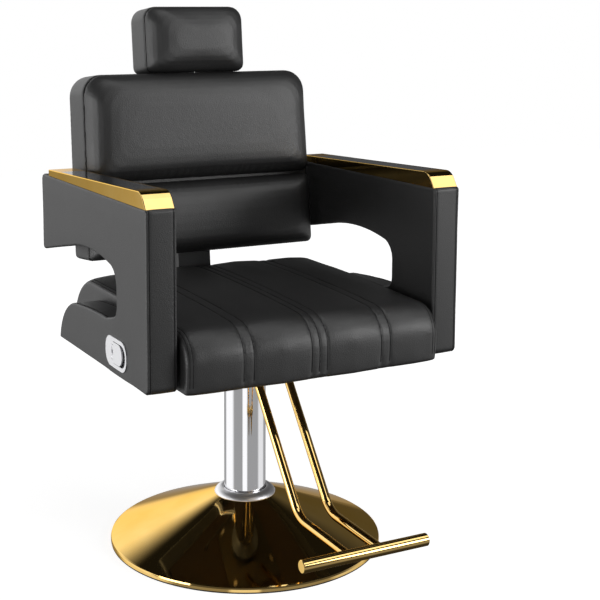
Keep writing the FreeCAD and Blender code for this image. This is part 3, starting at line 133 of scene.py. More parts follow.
class Flow:
    # an output socket of a node tree, with arithmetic
    def __init__(self, tree, socket=None):
        self.tree = tree
        self.socket = socket

    def node(self, kind, settings, inputs, output=0):
        made = self.tree.nodes.new(kind)
        for name, value in settings.items():
            if name == "stops":
                for index, (place, colour) in enumerate(value):
                    stops = made.color_ramp.elements
                    stop = stops[index] if index < 2 else stops.new(place)
                    stop.position = place
                    stop.color = colour
            else:
                setattr(made, name, value)
        for name, value in inputs.items():
            if isinstance(value, Flow):
                self.tree.links.new(value.socket, made.inputs[name])
            else:
                made.inputs[name].default_value = value
        return Flow(self.tree, made.outputs[output])

    def maths(self, operation, *values):
        return self.node("ShaderNodeMath", {"operation": operation}, dict(enumerate(values)))

    def __add__(self, other):
        return self.maths("ADD", self, other)

    __radd__ = __add__

    def __sub__(self, other):
        return self.maths("SUBTRACT", self, other)

    def __rsub__(self, other):
        return self.maths("SUBTRACT", other, self)

    def __mul__(self, other):
        return self.maths("MULTIPLY", self, other)

    def ramp(self, low, high):
        return self.node("ShaderNodeMapRange", {"interpolation_type": "SMOOTHSTEP"},
                         {"Value": self, "From Min": low, "From Max": high})

    def blend(self, first, second):
        # mixes two colours by this value
        return self.node("ShaderNodeMix", {"data_type": "RGBA"}, {0: self, 6: first, 7: second}, 2)

    def feed(self, shader, name):
        self.tree.links.new(self.socket, shader.inputs[name])


def newMaterial(name, **values):
    material = bpy.data.materials.new(name)
    material.use_nodes = True
    tree = material.node_tree
    shader = tree.nodes["Principled BSDF"]
    for label, value in values.items():
        shader.inputs[label.replace("_", " ")].default_value = value
    return material, shader, Flow(tree)


def grey(level):
    return (level, level, level, 1)


# Leather and thread

leatherSizes = {
    "dark": (0.011, 0.011, 0.0112, 1),
    "light": (0.017, 0.017, 0.0173, 1),
    "grain": 520,
    "fineGrain": 1900,
    "grainHeight": 0.0006,
    "roughness": 0.38,
    "shine": 0.85,
}


def makeLeather(name, sizes):
    material, shader, flow = newMaterial(name, Specular_IOR_Level=sizes["shine"])
    place = flow.node("ShaderNodeTexCoord", {}, {}, "Object")
    cells = flow.node("ShaderNodeTexVoronoi", {"feature": "SMOOTH_F1"},
                      {"Vector": place, "Scale": sizes["grain"], "Smoothness": 0.7})
    fine = flow.node("ShaderNodeTexNoise", {}, {"Vector": place, "Scale": sizes["fineGrain"], "Detail": 2.0})
    creases = flow.node("ShaderNodeTexNoise", {}, {"Vector": place, "Scale": 95.0, "Detail": 3.0})
    patches = flow.node("ShaderNodeTexNoise", {}, {"Vector": place, "Scale": 11.0, "Detail": 4.0})
    seam = flow.node("ShaderNodeAttribute", {"attribute_name": "seam"}, {}, "Fac")
    height = cells * 0.8 + fine * 0.25 + creases * 0.5
    bump = flow.node("ShaderNodeBump", {},
                     {"Height": height, "Strength": 0.55, "Distance": sizes["grainHeight"]})
    bump.feed(shader, "Normal")
    tone = (patches * 0.7 + cells * 0.6).ramp(0.25, 0.85)
    # the seam attribute darkens the leather in the seam grooves as painted shade, and also roughens it there
    colour = seam.ramp(0.2, 1.0).blend(tone.blend(sizes["dark"], sizes["light"]), (0.007, 0.007, 0.008, 1))
    colour.feed(shader, "Base Color")
    (sizes["roughness"] + patches * 0.10 + cells * 0.08 + seam * 0.15).feed(shader, "Roughness")
    return material


leather = makeLeather("blackLeather", leatherSizes)

thread, threadShader, flow = newMaterial("blackThread", Roughness=0.6)
place = flow.node("ShaderNodeTexCoord", {}, {}, "Object")
twist = flow.node("ShaderNodeTexWave", {"bands_direction": "DIAGONAL"},
                  {"Vector": place, "Scale": 900.0, "Distortion": 1.0})
twist.blend((0.04, 0.04, 0.042, 1), (0.09, 0.09, 0.092, 1)).feed(threadShader, "Base Color")
# dark cords for the bottoms of the seam grooves: painted shade, with a random mottle
shadeCord, shadeCordShader, flow = newMaterial("seamShadeCord", Specular_IOR_Level=0.2)
place = flow.node("ShaderNodeTexCoord", {}, {}, "Object")
cordMottle = flow.node("ShaderNodeTexNoise", {}, {"Vector": place, "Scale": 700.0, "Detail": 2.0})
cordMottle.blend((0.004, 0.004, 0.004, 1), (0.009, 0.009, 0.009, 1)).feed(shadeCordShader, "Base Color")
(0.6 + cordMottle * 0.3).feed(shadeCordShader, "Roughness")
print("leather ready")


# Padded pieces: a remeshed copy of the solid, puffed by cloth pressure, then sewn

puffSizes = {"pressure": 4, "quality": 4, "mass": 0.3, "frames": 20, "rounds": 14}
weldGap = 0.00002
seamStep = 0.0015
lineStep = 0.003


def wrapOn(piece, mould, offset=0.0):
    finishWith(piece, "SHRINKWRAP", target=mould, wrap_method="NEAREST_SURFACEPOINT",
               wrap_mode="ABOVE_SURFACE", offset=offset)


def startPad(node, name, voxel):
    piece = bpy.data.objects.new(name, nodes[node].data.copy())
    scene.collection.objects.link(piece)
    pick(piece)
    bpy.ops.object.mode_set(mode="EDIT")
    bpy.ops.mesh.select_all(action="SELECT")
    bpy.ops.mesh.remove_doubles(threshold=weldGap)
    bpy.ops.mesh.normals_make_consistent(inside=False)
    bpy.ops.object.mode_set(mode="OBJECT")
    mould = bpy.data.objects.new(name + "Mould", piece.data.copy())
    scene.collection.objects.link(mould)
    finishWith(piece, "REMESH", mode="VOXEL", voxel_size=voxel, adaptivity=0)
    wrapOn(piece, mould)
    return piece, mould


def refine(piece, mould, rounds, offset=0.0):
    # halves the mesh, lays it back on the solid's surface and adds the swelling that puff kept
    finishWith(piece, "SUBSURF", levels=1, render_levels=1, subdivision_type="SIMPLE")
    wrapOn(piece, mould, offset)
    bpy.data.objects.remove(mould)
    if rounds:
        finishWith(piece, "SMOOTH", factor=0.5, iterations=rounds)
    swell = piece.data.attributes.get("swell")
    if swell:
        moves = np.empty(len(piece.data.vertices) * 3, np.float32)
        swell.data.foreach_get("vector", moves)
        setPoints(piece, getPoints(piece) + moves.reshape(-1, 3))
        piece.data.attributes.remove(swell)


def spread(piece, values, rounds):
    # evens out a value of the points among neighbours
    edges = np.empty(len(piece.data.edges) * 2, np.int32)
    piece.data.edges.foreach_get("vertices", edges)
    first, second = edges.reshape(-1, 2).T
    count = np.bincount(edges, minlength=len(values)) + 1
    values = values.copy()
    for step in range(rounds):
        for axis in range(3):
            column = values[:, axis]
            around = np.bincount(first, column[second], len(column))
            around += np.bincount(second, column[first], len(column))
            values[:, axis] = (column + around) / count
    return values


def puff(piece, cap, keep):
    # keep gives, for every point, the share of the cap that it may move: the pressure alone would
    # blow the piece up far more, so it gives the swelling's direction and the cap its amount
    before = getPoints(piece)
    pick(piece)
    cloth = piece.modifiers.new("puff", "CLOTH")
    cloth.settings.use_pressure = True
    cloth.settings.uniform_pressure_force = puffSizes["pressure"]
    cloth.settings.effector_weights.gravity = 0
    cloth.settings.quality = puffSizes["quality"]
    cloth.settings.mass = puffSizes["mass"]
    cloth.collision_settings.use_collision = False
    cloth.point_cache.frame_start = 1
    cloth.point_cache.frame_end = puffSizes["frames"]
    for step in range(1, puffSizes["frames"] + 1):
        scene.frame_set(step)
    bpy.ops.object.modifier_apply(modifier=cloth.name)
    scene.frame_set(1)
    move = getPoints(piece) - before
    length = np.linalg.norm(move, axis=1)
    limit = cap * keep(before)
    print(piece.name, "puffed by up to %.1f mm, held to %.1f" % (length.max() * 1000, limit.max() * 1000))
    scale = np.minimum(1, limit / np.maximum(length, 1e-9))
    setPoints(piece, before)
    move = spread(piece, move * scale[:, None], puffSizes["rounds"])
    swell = piece.data.attributes.new("swell", "FLOAT_VECTOR", "POINT")
    swell.data.foreach_set("vector", move.astype(np.float32).ravel())


def evenly(points, step, closed=False):
    # the same line with its points a step apart
    points = [Vector(point) for point in points]
    if closed:
        points.append(points[0])
    lengths = [0.0]
    for first, second in zip(points, points[1:]):
        lengths.append(lengths[-1] + (second - first).length)
    count = max(2, round(lengths[-1] / step))
    made = []
    index = 0
    for number in range(count + (0 if closed else 1)):
        along = lengths[-1] * number / count
        while index < len(lengths) - 2 and lengths[index + 1] < along:
            index += 1
        span = max(lengths[index + 1] - lengths[index], 1e-9)
        made.append(points[index].lerp(points[index + 1], (along - lengths[index]) / span))
    return made


def treeOf(piece):
    return BVHTree.FromObject(piece, bpy.context.evaluated_depsgraph_get())


def castLine(tree, starts, directions):
    # points where rays from outside meet the piece
    found = []
    for start, direction in zip(starts, directions):
        place = tree.ray_cast(Vector(start), Vector(direction).normalized(), 1.0)[0]
        if place is not None:
            found.append(place)
    return found


def sew(piece, seams):
    # sinks each seam into the piece, with small gathers beside it, and stores a mask of its groove as the
    # seam attribute, which the leather uses for painted shade in the grooves
    points = getPoints(piece)
    normals = getNormals(piece)
    sink = np.zeros(len(points))
    grooveShade = np.zeros(len(points))
    for seam in seams:
        line = evenly(seam["points"], seamStep, seam.get("closed", False))
        finder = KDTree(len(line))
        for index, point in enumerate(line):
            finder.insert(point, index)
        finder.balance()
        reach = seam["reach"]
        low = np.min(np.array(line), axis=0) - reach
        high = np.max(np.array(line), axis=0) + reach
        near = np.nonzero(np.all((points > low) & (points < high), axis=1))[0]
        away = np.full(len(near), 1.0)
        along = np.zeros(len(near))
        for row, index in enumerate(near):
            number, distance = finder.find(points[index])[1:]
            away[row] = distance
            along[row] = number * seamStep
        groove = np.exp(-(away / seam["width"]) ** 2)
        phase = along / seam["pitch"] * 2 * math.pi + 2.1 * np.sin(along * 37)
        wave = np.sin(phase + 1.3 * np.sin(along * 91))
        strength = 0.6 + 0.4 * np.sin(along * 23 + 1) * np.sin(along * 61)
        gather = seam["gather"] * (0.5 + 0.5 * wave) * strength
        fade = smoothStep(0, seam["width"] * 1.6, away) * (1 - smoothStep(seam["width"] * 1.6, reach, away))
        sink[near] = np.maximum(sink[near], seam["depth"] * groove)
        sink[near] += gather * fade
        # the groove mask, stored for painted shade in the seam grooves
        grooveShade[near] = np.maximum(grooveShade[near], np.exp(-(away / (seam["width"] * 0.55)) ** 2))
    setPoints(piece, points - normals * sink[:, None])
    attribute = piece.data.attributes.new("seam", "FLOAT", "POINT")
    attribute.data.foreach_set("value", grooveShade.astype(np.float32))


stitchSizes = {"pitch": 0.0058, "length": 0.0042, "thick": 0.0009, "proud": 0.00015}


def stitchRow(name, piece, lines, body):
    # one small stitch is modelled, and its mesh is laid along every line
    sizes = stitchSizes
    deselect()
    bpy.ops.mesh.primitive_uv_sphere_add(segments=6, ring_count=5, radius=0.5)
    model = bpy.context.object
    corners = getPoints(model)
    faces = [list(face.vertices) for face in model.data.polygons]
    bpy.data.objects.remove(model)
    corners = corners[:, [2, 0, 1]] * (sizes["length"], sizes["thick"], sizes["thick"])
    tree = treeOf(piece)
    allPoints, allFaces = [], []
    for points, closed in lines:
        line = evenly(points, sizes["pitch"], closed)
        for index, point in enumerate(line):
            following = line[(index + 1) % len(line)] if closed or index + 1 < len(line) else None
            if following is None:
                continue
            place, normal = tree.find_nearest(point)[:2]
            ahead = following - point
            ahead -= normal * ahead.dot(normal)
            if ahead.length < 1e-5:
                continue
            ahead.normalize()
            side = normal.cross(ahead)
            axes = np.array([ahead, side, normal])
            base = len(allFaces) // len(faces) * len(corners)
            allPoints.append(corners @ axes + np.array(place + normal * sizes["proud"]))
            allFaces += [[corner + base for corner in face] for face in faces]
    mesh = bpy.data.meshes.new(name)
    mesh.from_pydata(np.concatenate(allPoints).tolist(), [], allFaces)
    row = bpy.data.objects.new(name, mesh)
    scene.collection.objects.link(row)
    row.data.materials.append(thread)
    pick(row)
    bpy.ops.object.shade_smooth()
    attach(row, body)


def shadeCordRow(name, piece, lines, body, radius=0.0006, proud=0.0):
    # a fine dark cord along the bottom of every seam, as painted shade of its groove
    tree = treeOf(piece)
    curve = bpy.data.curves.new(name, "CURVE")
    curve.dimensions = "3D"
    curve.bevel_depth = radius
    curve.bevel_resolution = 1
    for points, closed in lines:
        line = evenly(points, lineStep, closed)
        spline = curve.splines.new("POLY")
        spline.points.add(len(line) - 1)
        spline.use_cyclic_u = closed
        for target, point in zip(spline.points, line):
            place, normal = tree.find_nearest(point)[:2]
            target.co = (*(place + normal * proud), 1)
    row = bpy.data.objects.new(name, curve)
    scene.collection.objects.link(row)
    row.data.materials.append(shadeCord)
    pick(row)
    bpy.ops.object.convert(target="MESH")
    bpy.ops.object.shade_smooth()
    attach(row, body)


def finishPad(piece, node, body):
    piece.data.materials.clear()
    piece.data.materials.append(leather)
    pick(piece)
    bpy.ops.object.shade_smooth()
    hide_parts(node)
    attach(piece, body)


# Seat cushion

seatSizes = {
    "voxel": 0.006,
    "cap": 0.003,
    "channels": (-0.162, -0.141, -0.017, 0.0, 0.017, 0.141, 0.162),
    "sideSeams": (0.2655, 0.2720),
    "channelSeam": {"depth": 0.0017, "width": 0.0023, "gather": 0.0003, "pitch": 0.013, "reach": 0.015},
    "sideSeam": {"depth": 0.0010, "width": 0.0024, "gather": 0.0004, "pitch": 0.011, "reach": 0.014},
    "rearCentre": (0.20, 0.44),
    "frontCentre": (-0.25, 0.485),
    "castFrom": 0.4,
}


def seatKeep(points):
    # the sides stay clear of the arms, and the foot and the slots keep their places
    across = 1 - smoothStep(0.264, 0.276, np.abs(points[:, 0]))
    up = smoothStep(0.452, 0.475, points[:, 2])
    rear = 1 - smoothStep(0.20, 0.26, points[:, 1])
    return across * up * rear


def seatCalm(points):
    # where the solid's own channels are filled, for sewn ones to be cut instead
    across = 1 - smoothStep(0.235, 0.262, np.abs(points[:, 0]))
    up = smoothStep(0.450, 0.475, points[:, 2])
    rear = 1 - smoothStep(0.185, 0.225, points[:, 1])
    return across * up * rear


def seatLine(tree, x):
    # rays onto the rear roll, the top, the front roll and the front, in that order
    far = seatSizes["castFrom"]
    rearY, rearZ = seatSizes["rearCentre"]
    frontY, frontZ = seatSizes["frontCentre"]
    starts, directions = [], []
    for angle in np.linspace(-80, -4, 20):
        turn = math.radians(angle)
        direction = (0, -math.cos(turn), math.sin(turn))
        starts.append((x, rearY - far * direction[1], rearZ - far * direction[2]))
        directions.append(direction)
    starts.reverse()
    directions.reverse()
    for y in np.arange(0.19, frontY, -0.01):
        starts.append((x, y, 0.9))
        directions.append((0, 0, -1))
    for angle in np.linspace(90, 0, 31):
        turn = math.radians(angle)
        direction = (0, math.cos(turn), -math.sin(turn))
        starts.append((x, frontY - far * direction[1], frontZ - far * direction[2]))
        directions.append(direction)
    for z in np.arange(0.478, 0.446, -0.004):
        starts.append((x, -0.6, z))
        directions.append((0, 1, 0))
    return castLine(tree, starts, directions)


seat, mould = startPad("seat_cushion", "seatCushion", seatSizes["voxel"])
puff(seat, seatSizes["cap"], seatKeep)
refine(seat, mould, 10)
seatPoints = getPoints(seat)
share = seatCalm(seatPoints)[:, None]
setPoints(seat, seatPoints * (1 - share) + spread(seat, seatPoints, 30) * share)
seatTree = treeOf(seat)
seatSeams = []
for x in seatSizes["channels"]:
    seatSeams.append({"points": seatLine(seatTree, x), **seatSizes["channelSeam"]})
for side in (-1, 1):
    for place in seatSizes["sideSeams"]:
        seatSeams.append({"points": seatLine(seatTree, side * place), **seatSizes["sideSeam"]})
sew(seat, seatSeams)
finishPad(seat, "seat_cushion", "seat")
stitchLines = [(seam["points"], False) for seam in seatSeams]
stitchRow("seatStitches", seat, stitchLines, "seat")
shadeCordRow("seatCreases", seat, stitchLines, "seat")
print("seat cushion ready:", len(seat.data.polygons), "faces")


# Arms

armSizes = {
    "voxel": 0.0044,
    "cap": 0.0012,
    "inner": 0.284,
    "outer": 0.344,
    "edge": 0.0024,
    "leather": 0.0006,
    "seamInset": 0.0055,
    "stitchGap": 0.0024,
    "seam": {"depth": 0.0009, "width": 0.0022, "gather": 0.0003, "pitch": 0.012, "reach": 0.012},
    "handle": (-0.131, 0.482),
    "handleHalf": (0.07, 0.05),
}


def rimLoop(node, axis, value):
    # the outline of the flat face that lies at a place along an axis
    piece = bpy.data.objects.new("rim", nodes[node].data.copy())
    scene.collection.objects.link(piece)
    pick(piece)
    bpy.ops.object.mode_set(mode="EDIT")
    bpy.ops.mesh.select_all(action="SELECT")
    bpy.ops.mesh.remove_doubles(threshold=weldGap)
    bpy.ops.object.mode_set(mode="OBJECT")
    points = getPoints(piece)
    count = {}
    for face in piece.data.polygons:
        if np.all(np.abs(points[list(face.vertices), axis] - value) < 0.0001):
            for key in face.edge_keys:
                count[key] = count.get(key, 0) + 1
    bpy.data.objects.remove(piece)
    links = {}
    for first, second in [key for key, uses in count.items() if uses == 1]:
        links.setdefault(first, []).append(second)
        links.setdefault(second, []).append(first)
    loops = []
    while links:
        start = next(iter(links))
        loop = [start]
        while True:
            following = [item for item in links.pop(loop[-1], []) if item in links]
            if not following:
                break
            loop.append(following[0])
        loops.append([Vector(points[index]) for index in loop])
    return max(loops, key=len)


def drawIn(loop, axis, distance):
    # moves a loop into its own face by a distance
    loop = evenly(loop, lineStep, True)
    flat = [index for index in range(3) if index != axis]
    across, up = flat
    area = sum(a[across] * b[up] - b[across] * a[up] for a, b in zip(loop, loop[1:] + loop[:1]))
    turn = 1 if area > 0 else -1
    made = []
    for index, point in enumerate(loop):
        ahead = loop[(index + 1) % len(loop)] - loop[index - 1]
        inward = Vector((0, 0, 0))
        inward[across] = -ahead[up] * turn
        inward[up] = ahead[across] * turn
        made.append(point + inward.normalized() * distance)
    return made


for side, word in ((-1, "right"), (1, "left")):
    node = "arm_" + word
    outer = side * armSizes["outer"]
    inner = side * armSizes["inner"]
    title = "arm" + word.capitalize()
    arm, mould = startPad(node, title, armSizes["voxel"])

    def armKeep(points):
        # only the outer faces may swell, clear of the release handle and the cap: the inner ones
        # stand beside the seat and the back
        reach = smoothStep(0.32, 0.34, side * points[:, 0])
        handleY, handleZ = armSizes["handle"]
        halfY, halfZ = armSizes["handleHalf"]
        handle = (points[:, 1] - handleY) ** 2 / halfY ** 2 + (points[:, 2] - handleZ) ** 2 / halfZ ** 2
        near = smoothStep(0.9, 1.6, handle) if side < 0 else 1
        return reach * near * (1 - smoothStep(0.765, 0.778, points[:, 2]))

    puff(arm, armSizes["cap"], armKeep)
    refine(arm, mould, 0, armSizes["leather"])
    armSeams, armStitches, armShadeCords = [], [], []
    for value in (outer, inner):
        wall = drawIn(rimLoop(node, 0, value), 0, -armSizes["edge"])
        toMiddle = math.copysign(1, (inner + outer) / 2 - value)
        seam = [Vector((value + toMiddle * armSizes["seamInset"], point.y, point.z)) for point in wall]
        armSeams.append({"points": seam, "closed": True, **armSizes["seam"]})
        armShadeCords.append((seam, True))
        for gap in (-armSizes["stitchGap"], armSizes["stitchGap"]):
            armStitches.append(([point + Vector((toMiddle * gap, 0, 0)) for point in seam], True))
    sew(arm, armSeams)
    finishPad(arm, node, "seat")
    stitchRow(title + "Stitches", arm, armStitches, "seat")
    shadeCordRow(title + "Creases", arm, armShadeCords, "seat", 0.0008)
    print(arm.name, "ready:", len(arm.data.polygons), "faces")


# Back and headrest

leanAngle = math.radians(5.7)
pivot = Vector((0, 0.255, 0.457))


def backPoint(x, v, w):
    # a point given in the back's own leaning frame
    return pivot + Vector((x, v * math.cos(leanAngle) + w * math.sin(leanAngle),
                           w * math.cos(leanAngle) - v * math.sin(leanAngle)))


def backDepth(points):
    # how far behind the pivot the points lie in that frame
    away = points - np.array(pivot)
    return away[:, 1] * math.cos(leanAngle) - away[:, 2] * math.sin(leanAngle)


backSizes = {
    "voxel": 0.0056,
    "cap": 0.004,
    "seam": -0.067,
    "halfFoot": 0.276,
    "halfTop": 0.271,
    "foot": 0.134,
    "top": 0.538,
    "split": 0.300,
    "roundFoot": 0.010,
    "roundTop": 0.045,
    "stitchBack": 0.005,
    "rear": 0.021,
    "splitFront": 0.016,
    "splitHalf": 0.25,
    "wrinkles": {"depth": 0.0, "width": 0.012, "gather": 0.0008, "pitch": 0.021, "reach": 0.045},
    "boxSeam": {"depth": 0.0008, "width": 0.0022, "gather": 0.0003, "pitch": 0.012, "reach": 0.012},
}
headSizes = {
    "voxel": 0.0042,
    "cap": 0.003,
    "seam": -0.064,
    "half": 0.1195,
    "foot": 0.5385,
    "top": 0.6855,
    "roundFoot": 0.014,
    "roundTop": 0.030,
    "rimSeam": {"depth": 0.0016, "width": 0.0024, "gather": 0.0005, "pitch": 0.011, "reach": 0.014},
    "stitchSeam": {"depth": 0.0006, "width": 0.0020, "gather": 0.0002, "pitch": 0.011, "reach": 0.010},
}


def padLoop(v, halfFoot, halfTop, foot, top, roundFoot, roundTop):
    # the rounded outline of a pad at depth v
    corners = (
        (halfFoot - roundFoot, foot + roundFoot, roundFoot, -90),
        (halfTop - roundTop, top - roundTop, roundTop, 0),
        (-halfTop + roundTop, top - roundTop, roundTop, 90),
        (-halfFoot + roundFoot, foot + roundFoot, roundFoot, 180),
    )
    loop = []
    for x, w, radius, first in corners:
        for angle in np.linspace(first, first + 90, 7):
            turn = math.radians(angle)
            loop.append(backPoint(x + radius * math.cos(turn), v, w + radius * math.sin(turn)))
    return loop


def cushionKeep(points):
    # the front swells, from the seam on
    return smoothStep(0.004, 0.03, backSizes["seam"] - backDepth(points))


backOutline = [backSizes[name] for name in ("halfFoot", "halfTop", "foot", "top", "roundFoot", "roundTop")]
splitDepth = backSizes["seam"] - backSizes["splitFront"]
splitAcross = np.linspace(-backSizes["splitHalf"], backSizes["splitHalf"], 80)
splitLine = [backPoint(x, splitDepth, backSizes["split"]) for x in splitAcross]
for node, name in (("lower_cushion", "lowerCushion"), ("upper_cushion", "upperCushion")):
    cushion, mould = startPad(node, name, backSizes["voxel"])
    puff(cushion, backSizes["cap"], cushionKeep)
    refine(cushion, mould, 8)
    sew(cushion, [{"points": splitLine, **backSizes["wrinkles"]}])
    finishPad(cushion, node, "back")
    print(name, "ready:", len(cushion.data.polygons), "faces")

box, mould = startPad("back_box", "backBox", backSizes["voxel"])
refine(box, mould, 4)
stitchLoop = padLoop(backSizes["seam"] + backSizes["stitchBack"], *backOutline)
rearLoop = padLoop(backSizes["rear"], *backOutline)
sew(box, [{"points": loop, "closed": True, **backSizes["boxSeam"]} for loop in (stitchLoop, rearLoop)])
finishPad(box, "back_box", "back")
stitchRow("backStitches", box, [(stitchLoop, True), (rearLoop, True)], "back")
shadeCordRow("backCreases", box, [(padLoop(backSizes["seam"] + 0.0005, *backOutline), True), (rearLoop, True)],
          "back", 0.0008, -0.0003)

headrest, mould = startPad("headrest_pad", "headrestPad", headSizes["voxel"])
puff(headrest, headSizes["cap"], cushionKeep)
refine(headrest, mould, 10)
headOutline = [headSizes[name] for name in ("half", "half", "foot", "top", "roundFoot", "roundTop")]
headLoop = padLoop(headSizes["seam"], *headOutline)
headStitchLoop = padLoop(headSizes["seam"] + backSizes["stitchBack"], *headOutline)
sew(headrest, [{"points": headLoop, "closed": True, **headSizes["rimSeam"]},
               {"points": headStitchLoop, "closed": True, **headSizes["stitchSeam"]}])
finishPad(headrest, "headrest_pad", "headrest")
stitchRow("headrestStitches", headrest, [(headStitchLoop, True)], "headrest")
shadeCordRow("headrestCreases", headrest, [(headLoop, True)], "headrest", 0.0009)
print("back and headrest ready")


# Metals

def dress(material, *names):
    for name in names:
        node = nodes[name]
        if not node.material_slots:
            node.data.materials.append(material)
        for socket in node.material_slots:
            socket.material = material


goldSizes = {"tint": (0.88, 0.61, 0.23, 1), "deep": (0.84, 0.56, 0.19, 1), "roughness": 0.03}
gold, goldShader, flow = newMaterial("polishedGold", Metallic=1.0, Specular_Tint=(0.95, 0.74, 0.40, 1))
place = flow.node("ShaderNodeTexCoord", {}, {}, "Object")
haze = flow.node("ShaderNodeTexNoise", {}, {"Vector": place, "Scale": 14.0, "Detail": 5.0})
scuffs = flow.node("ShaderNodeTexNoise", {}, {"Vector": place, "Scale": 420.0, "Detail": 3.0})
haze.ramp(0.3, 0.7).blend(goldSizes["tint"], goldSizes["deep"]).feed(goldShader, "Base Color")
(goldSizes["roughness"] + haze * 0.03 + scuffs * 0.02).feed(goldShader, "Roughness")
flow.node("ShaderNodeBump", {}, {"Height": scuffs, "Strength": 0.05, "Distance": 0.0001}).feed(
    goldShader, "Normal")
dress(gold, "base_dome", "footrest_tube_left", "footrest_tube_right", "footrest_bar", "cap_left", "cap_right")

chrome, chromeShader, flow = newMaterial("polishedChrome", Metallic=1.0, Base_Color=(0.88, 0.88, 0.9, 1))
place = flow.node("ShaderNodeTexCoord", {}, {}, "Object")
haze = flow.node("ShaderNodeTexNoise", {}, {"Vector": place, "Scale": 20.0, "Detail": 4.0})
(0.04 + haze * 0.05).feed(chromeShader, "Roughness")
dress(chrome, "shroud", "shroud_ring", "headrest_bar", "pump_pedal")

satin, satinShader, flow = newMaterial("satinChrome", Metallic=1.0, Base_Color=(0.93, 0.93, 0.95, 1))
place = flow.node("ShaderNodeTexCoord", {}, {}, "Object")
brushed = flow.node("ShaderNodeTexNoise", {}, {"Vector": place, "Scale": 600.0, "Detail": 3.0})
(0.36 + brushed * 0.12).feed(satinShader, "Roughness")
dress(satin, "release_housing", "release_paddle", "base_collar")

inlay, inlayShader, flow = newMaterial("blackInlay", Coat_Weight=0.6, Coat_Roughness=0.08)
place = flow.node("ShaderNodeTexCoord", {}, {}, "Object")
speck = flow.node("ShaderNodeTexNoise", {}, {"Vector": place, "Scale": 260.0, "Detail": 3.0})
speck.blend((0.008, 0.010, 0.016, 1), (0.014, 0.017, 0.025, 1)).feed(inlayShader, "Base Color")
(0.16 + speck * 0.1).feed(inlayShader, "Roughness")
dress(inlay, "inlay_left", "inlay_right")


def plainFinish(name, colour, roughness, metallic, scale, height, *users):
    material, shader, flow = newMaterial(name, Metallic=metallic)
    place = flow.node("ShaderNodeTexCoord", {}, {}, "Object")
    mottle = flow.node("ShaderNodeTexNoise", {}, {"Vector": place, "Scale": scale, "Detail": 4.0})
    darker = tuple(channel * 0.75 for channel in colour[:3]) + (1,)
    mottle.blend(darker, colour).feed(shader, "Base Color")
    (roughness + mottle * 0.12).feed(shader, "Roughness")
    flow.node("ShaderNodeBump", {}, {"Height": mottle, "Strength": 0.3, "Distance": height}).feed(
        shader, "Normal")
    dress(material, *users)


plainFinish("steel", (0.56, 0.56, 0.58, 1), 0.28, 1.0, 300.0, 0.0001, "base_tube", "flange_bolts", "ram",
            "mount_bolts", "arm_bolts", "hinge_pin", "lever_pin", "paddle_pin", "paddle_spring", "pedal_pin",
            "pedal_spring", "strut_bolts", "lug_pin", "headrest_sleeve", "gas_rod", "pump_plunger",
            "valve_lever")
plainFinish("blackPaint", (0.014, 0.014, 0.0145, 1), 0.38, 0.0, 700.0, 0.00015, "pump_head", "mount_plate",
            "seat_frame", "footrest_bracket", "hinge_plate_left", "hinge_plate_right", "release_head",
            "gas_cylinder", "back_strut")
plainFinish("castIron", (0.10, 0.10, 0.10, 1), 0.65, 0.0, 260.0, 0.0004, "base_plate")
plainFinish("bronze", (0.55, 0.38, 0.20, 1), 0.32, 1.0, 300.0, 0.0001, "guide_bush", "ram_piston",
            "thrust_race", "strut_bush")
plainFinish("rubber", (0.03, 0.03, 0.03, 1), 0.75, 0.0, 500.0, 0.0002, "base_gasket")
plainFinish("blackPlastic", (0.03, 0.03, 0.03, 1), 0.5, 0.0, 900.0, 0.0001, "hinge_washers",
            "release_cable", "headrest_bush")
plainFinish("darkBoard", (0.030, 0.016, 0.007, 1), 0.6, 0.0, 60.0, 0.0003, "seat_board")
print("metals ready")


# Studio

studioSizes = {
    "floor": 6.0,
    "floorColour": 0.45,
    "floorGlow": 0.86,
    "ambient": 0.16,
    "mirrorLow": 0.36,
    "mirrorSide": 0.10,
    "mirrorTop": 0.01,
    "mirrorFoot": 0.04,
    "facing": (-0.453, -0.891),
}

deselect()
bpy.ops.mesh.primitive_plane_add(size=2 * studioSizes["floor"], location=(0, 0, -0.0005))
floor = bpy.context.object
floor.name = "floor"
floor.visible_glossy = False  # metal mirrors the backdrop's own lower half instead
floorMaterial, floorShader, flow = newMaterial("paleFloor", Roughness=0.9, Specular_IOR_Level=0.0)
floorShader.inputs["Base Color"].default_value = grey(studioSizes["floorColour"])
seen = flow.node("ShaderNodeLightPath", {}, {}, "Is Camera Ray")
place = flow.node("ShaderNodeTexCoord", {}, {}, "Object")
away = flow.node("ShaderNodeVectorMath", {"operation": "LENGTH"}, {0: place}, "Value")
glow = away.ramp(0.5, 2.2).blend(grey(studioSizes["floorGlow"]), grey(1))
seen.blend(grey(0), glow).feed(floorShader, "Emission Color")
floorShader.inputs["Emission Strength"].default_value = 1
floor.data.materials.append(floorMaterial)

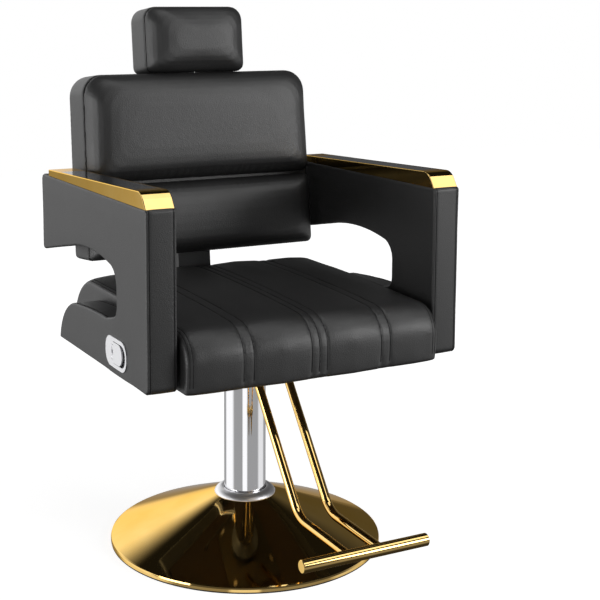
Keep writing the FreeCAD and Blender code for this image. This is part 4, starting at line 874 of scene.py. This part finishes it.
world = bpy.data.worlds.new("studio")
scene.world = world
world.use_nodes = True
flow = Flow(world.node_tree)
backdrop = world.node_tree.nodes["Background"]
backdrop.inputs["Color"].default_value = grey(1)
seen = flow.node("ShaderNodeLightPath", {}, {}, "Is Camera Ray")
mirrored = flow.node("ShaderNodeLightPath", {}, {}, "Is Glossy Ray")
direction = flow.node("ShaderNodeTexCoord", {}, {}, "Generated")
height = flow.node("ShaderNodeSeparateXYZ", {}, {"Vector": direction}, "Z")
level = flow.node("ShaderNodeVectorMath", {"operation": "MULTIPLY"}, {0: direction, 1: (1, 1, 0)})
level = flow.node("ShaderNodeVectorMath", {"operation": "NORMALIZE"}, {0: level})


def band(bearing, half, edge):
    # a soft upright band of the backdrop, centred on a bearing in degrees from +X
    turn = math.radians(bearing)
    facing = flow.node("ShaderNodeVectorMath", {"operation": "DOT_PRODUCT"},
                       {0: level, 1: (math.cos(turn), math.sin(turn), 0)}, "Value")
    return facing.ramp(math.cos(math.radians(half + edge)), math.cos(math.radians(half)))


# the bearings are counted from the camera's own
front = math.degrees(math.atan2(studioSizes["facing"][1], studioSizes["facing"][0]))
low = studioSizes["mirrorLow"] + band(front - 97, 20, 18) * 0.75
low = low + band(front, 10, 5) * 0.75 + band(front + 101, 14, 14) * 0.5
side = studioSizes["mirrorSide"] + band(front - 125, 40, 15) * 1.15
rise = height.ramp(-0.10, 0.02)
mirror = low * (1 - rise) + side * rise
top = height.ramp(0.44, 0.68)
mirror = mirror * (1 - top) + top * studioSizes["mirrorTop"]
foot = (0 - height).ramp(0.35, 0.70)
mirror = mirror * (1 - foot) + foot * studioSizes["mirrorFoot"]
unseen = mirrored * mirror + (1 - mirrored) * studioSizes["ambient"]
(seen + (1 - seen) * unseen).feed(backdrop, "Strength")


def addLamp(name, place, aim, size, power):
    lamp = bpy.data.objects.new(name, bpy.data.lights.new(name, "AREA"))
    scene.collection.objects.link(lamp)
    lamp.data.shape = "RECTANGLE"
    lamp.data.size, lamp.data.size_y = size
    lamp.data.energy = power
    lamp.location = place
    lamp.rotation_euler = (Vector(aim) - Vector(place)).to_track_quat("-Z", "Y").to_euler()


addLamp("leftLamp", (-3.2, -0.1, 0.7), (0, 0, 0.6), (2.2, 1.1), 35)
addLamp("frontLamp", (2.5, -3.0, 1.5), (0, 0, 0.6), (2.0, 1.4), 59)
addLamp("noseLamp", (1.2, -1.5, 2.6), (0, 0, 0.6), (2.2, 1.0), 12)
addLamp("topLamp", (0.0, -0.4, 3.0), (0, 0, 0.6), (1.6, 1.6), 12)
print("studio ready")
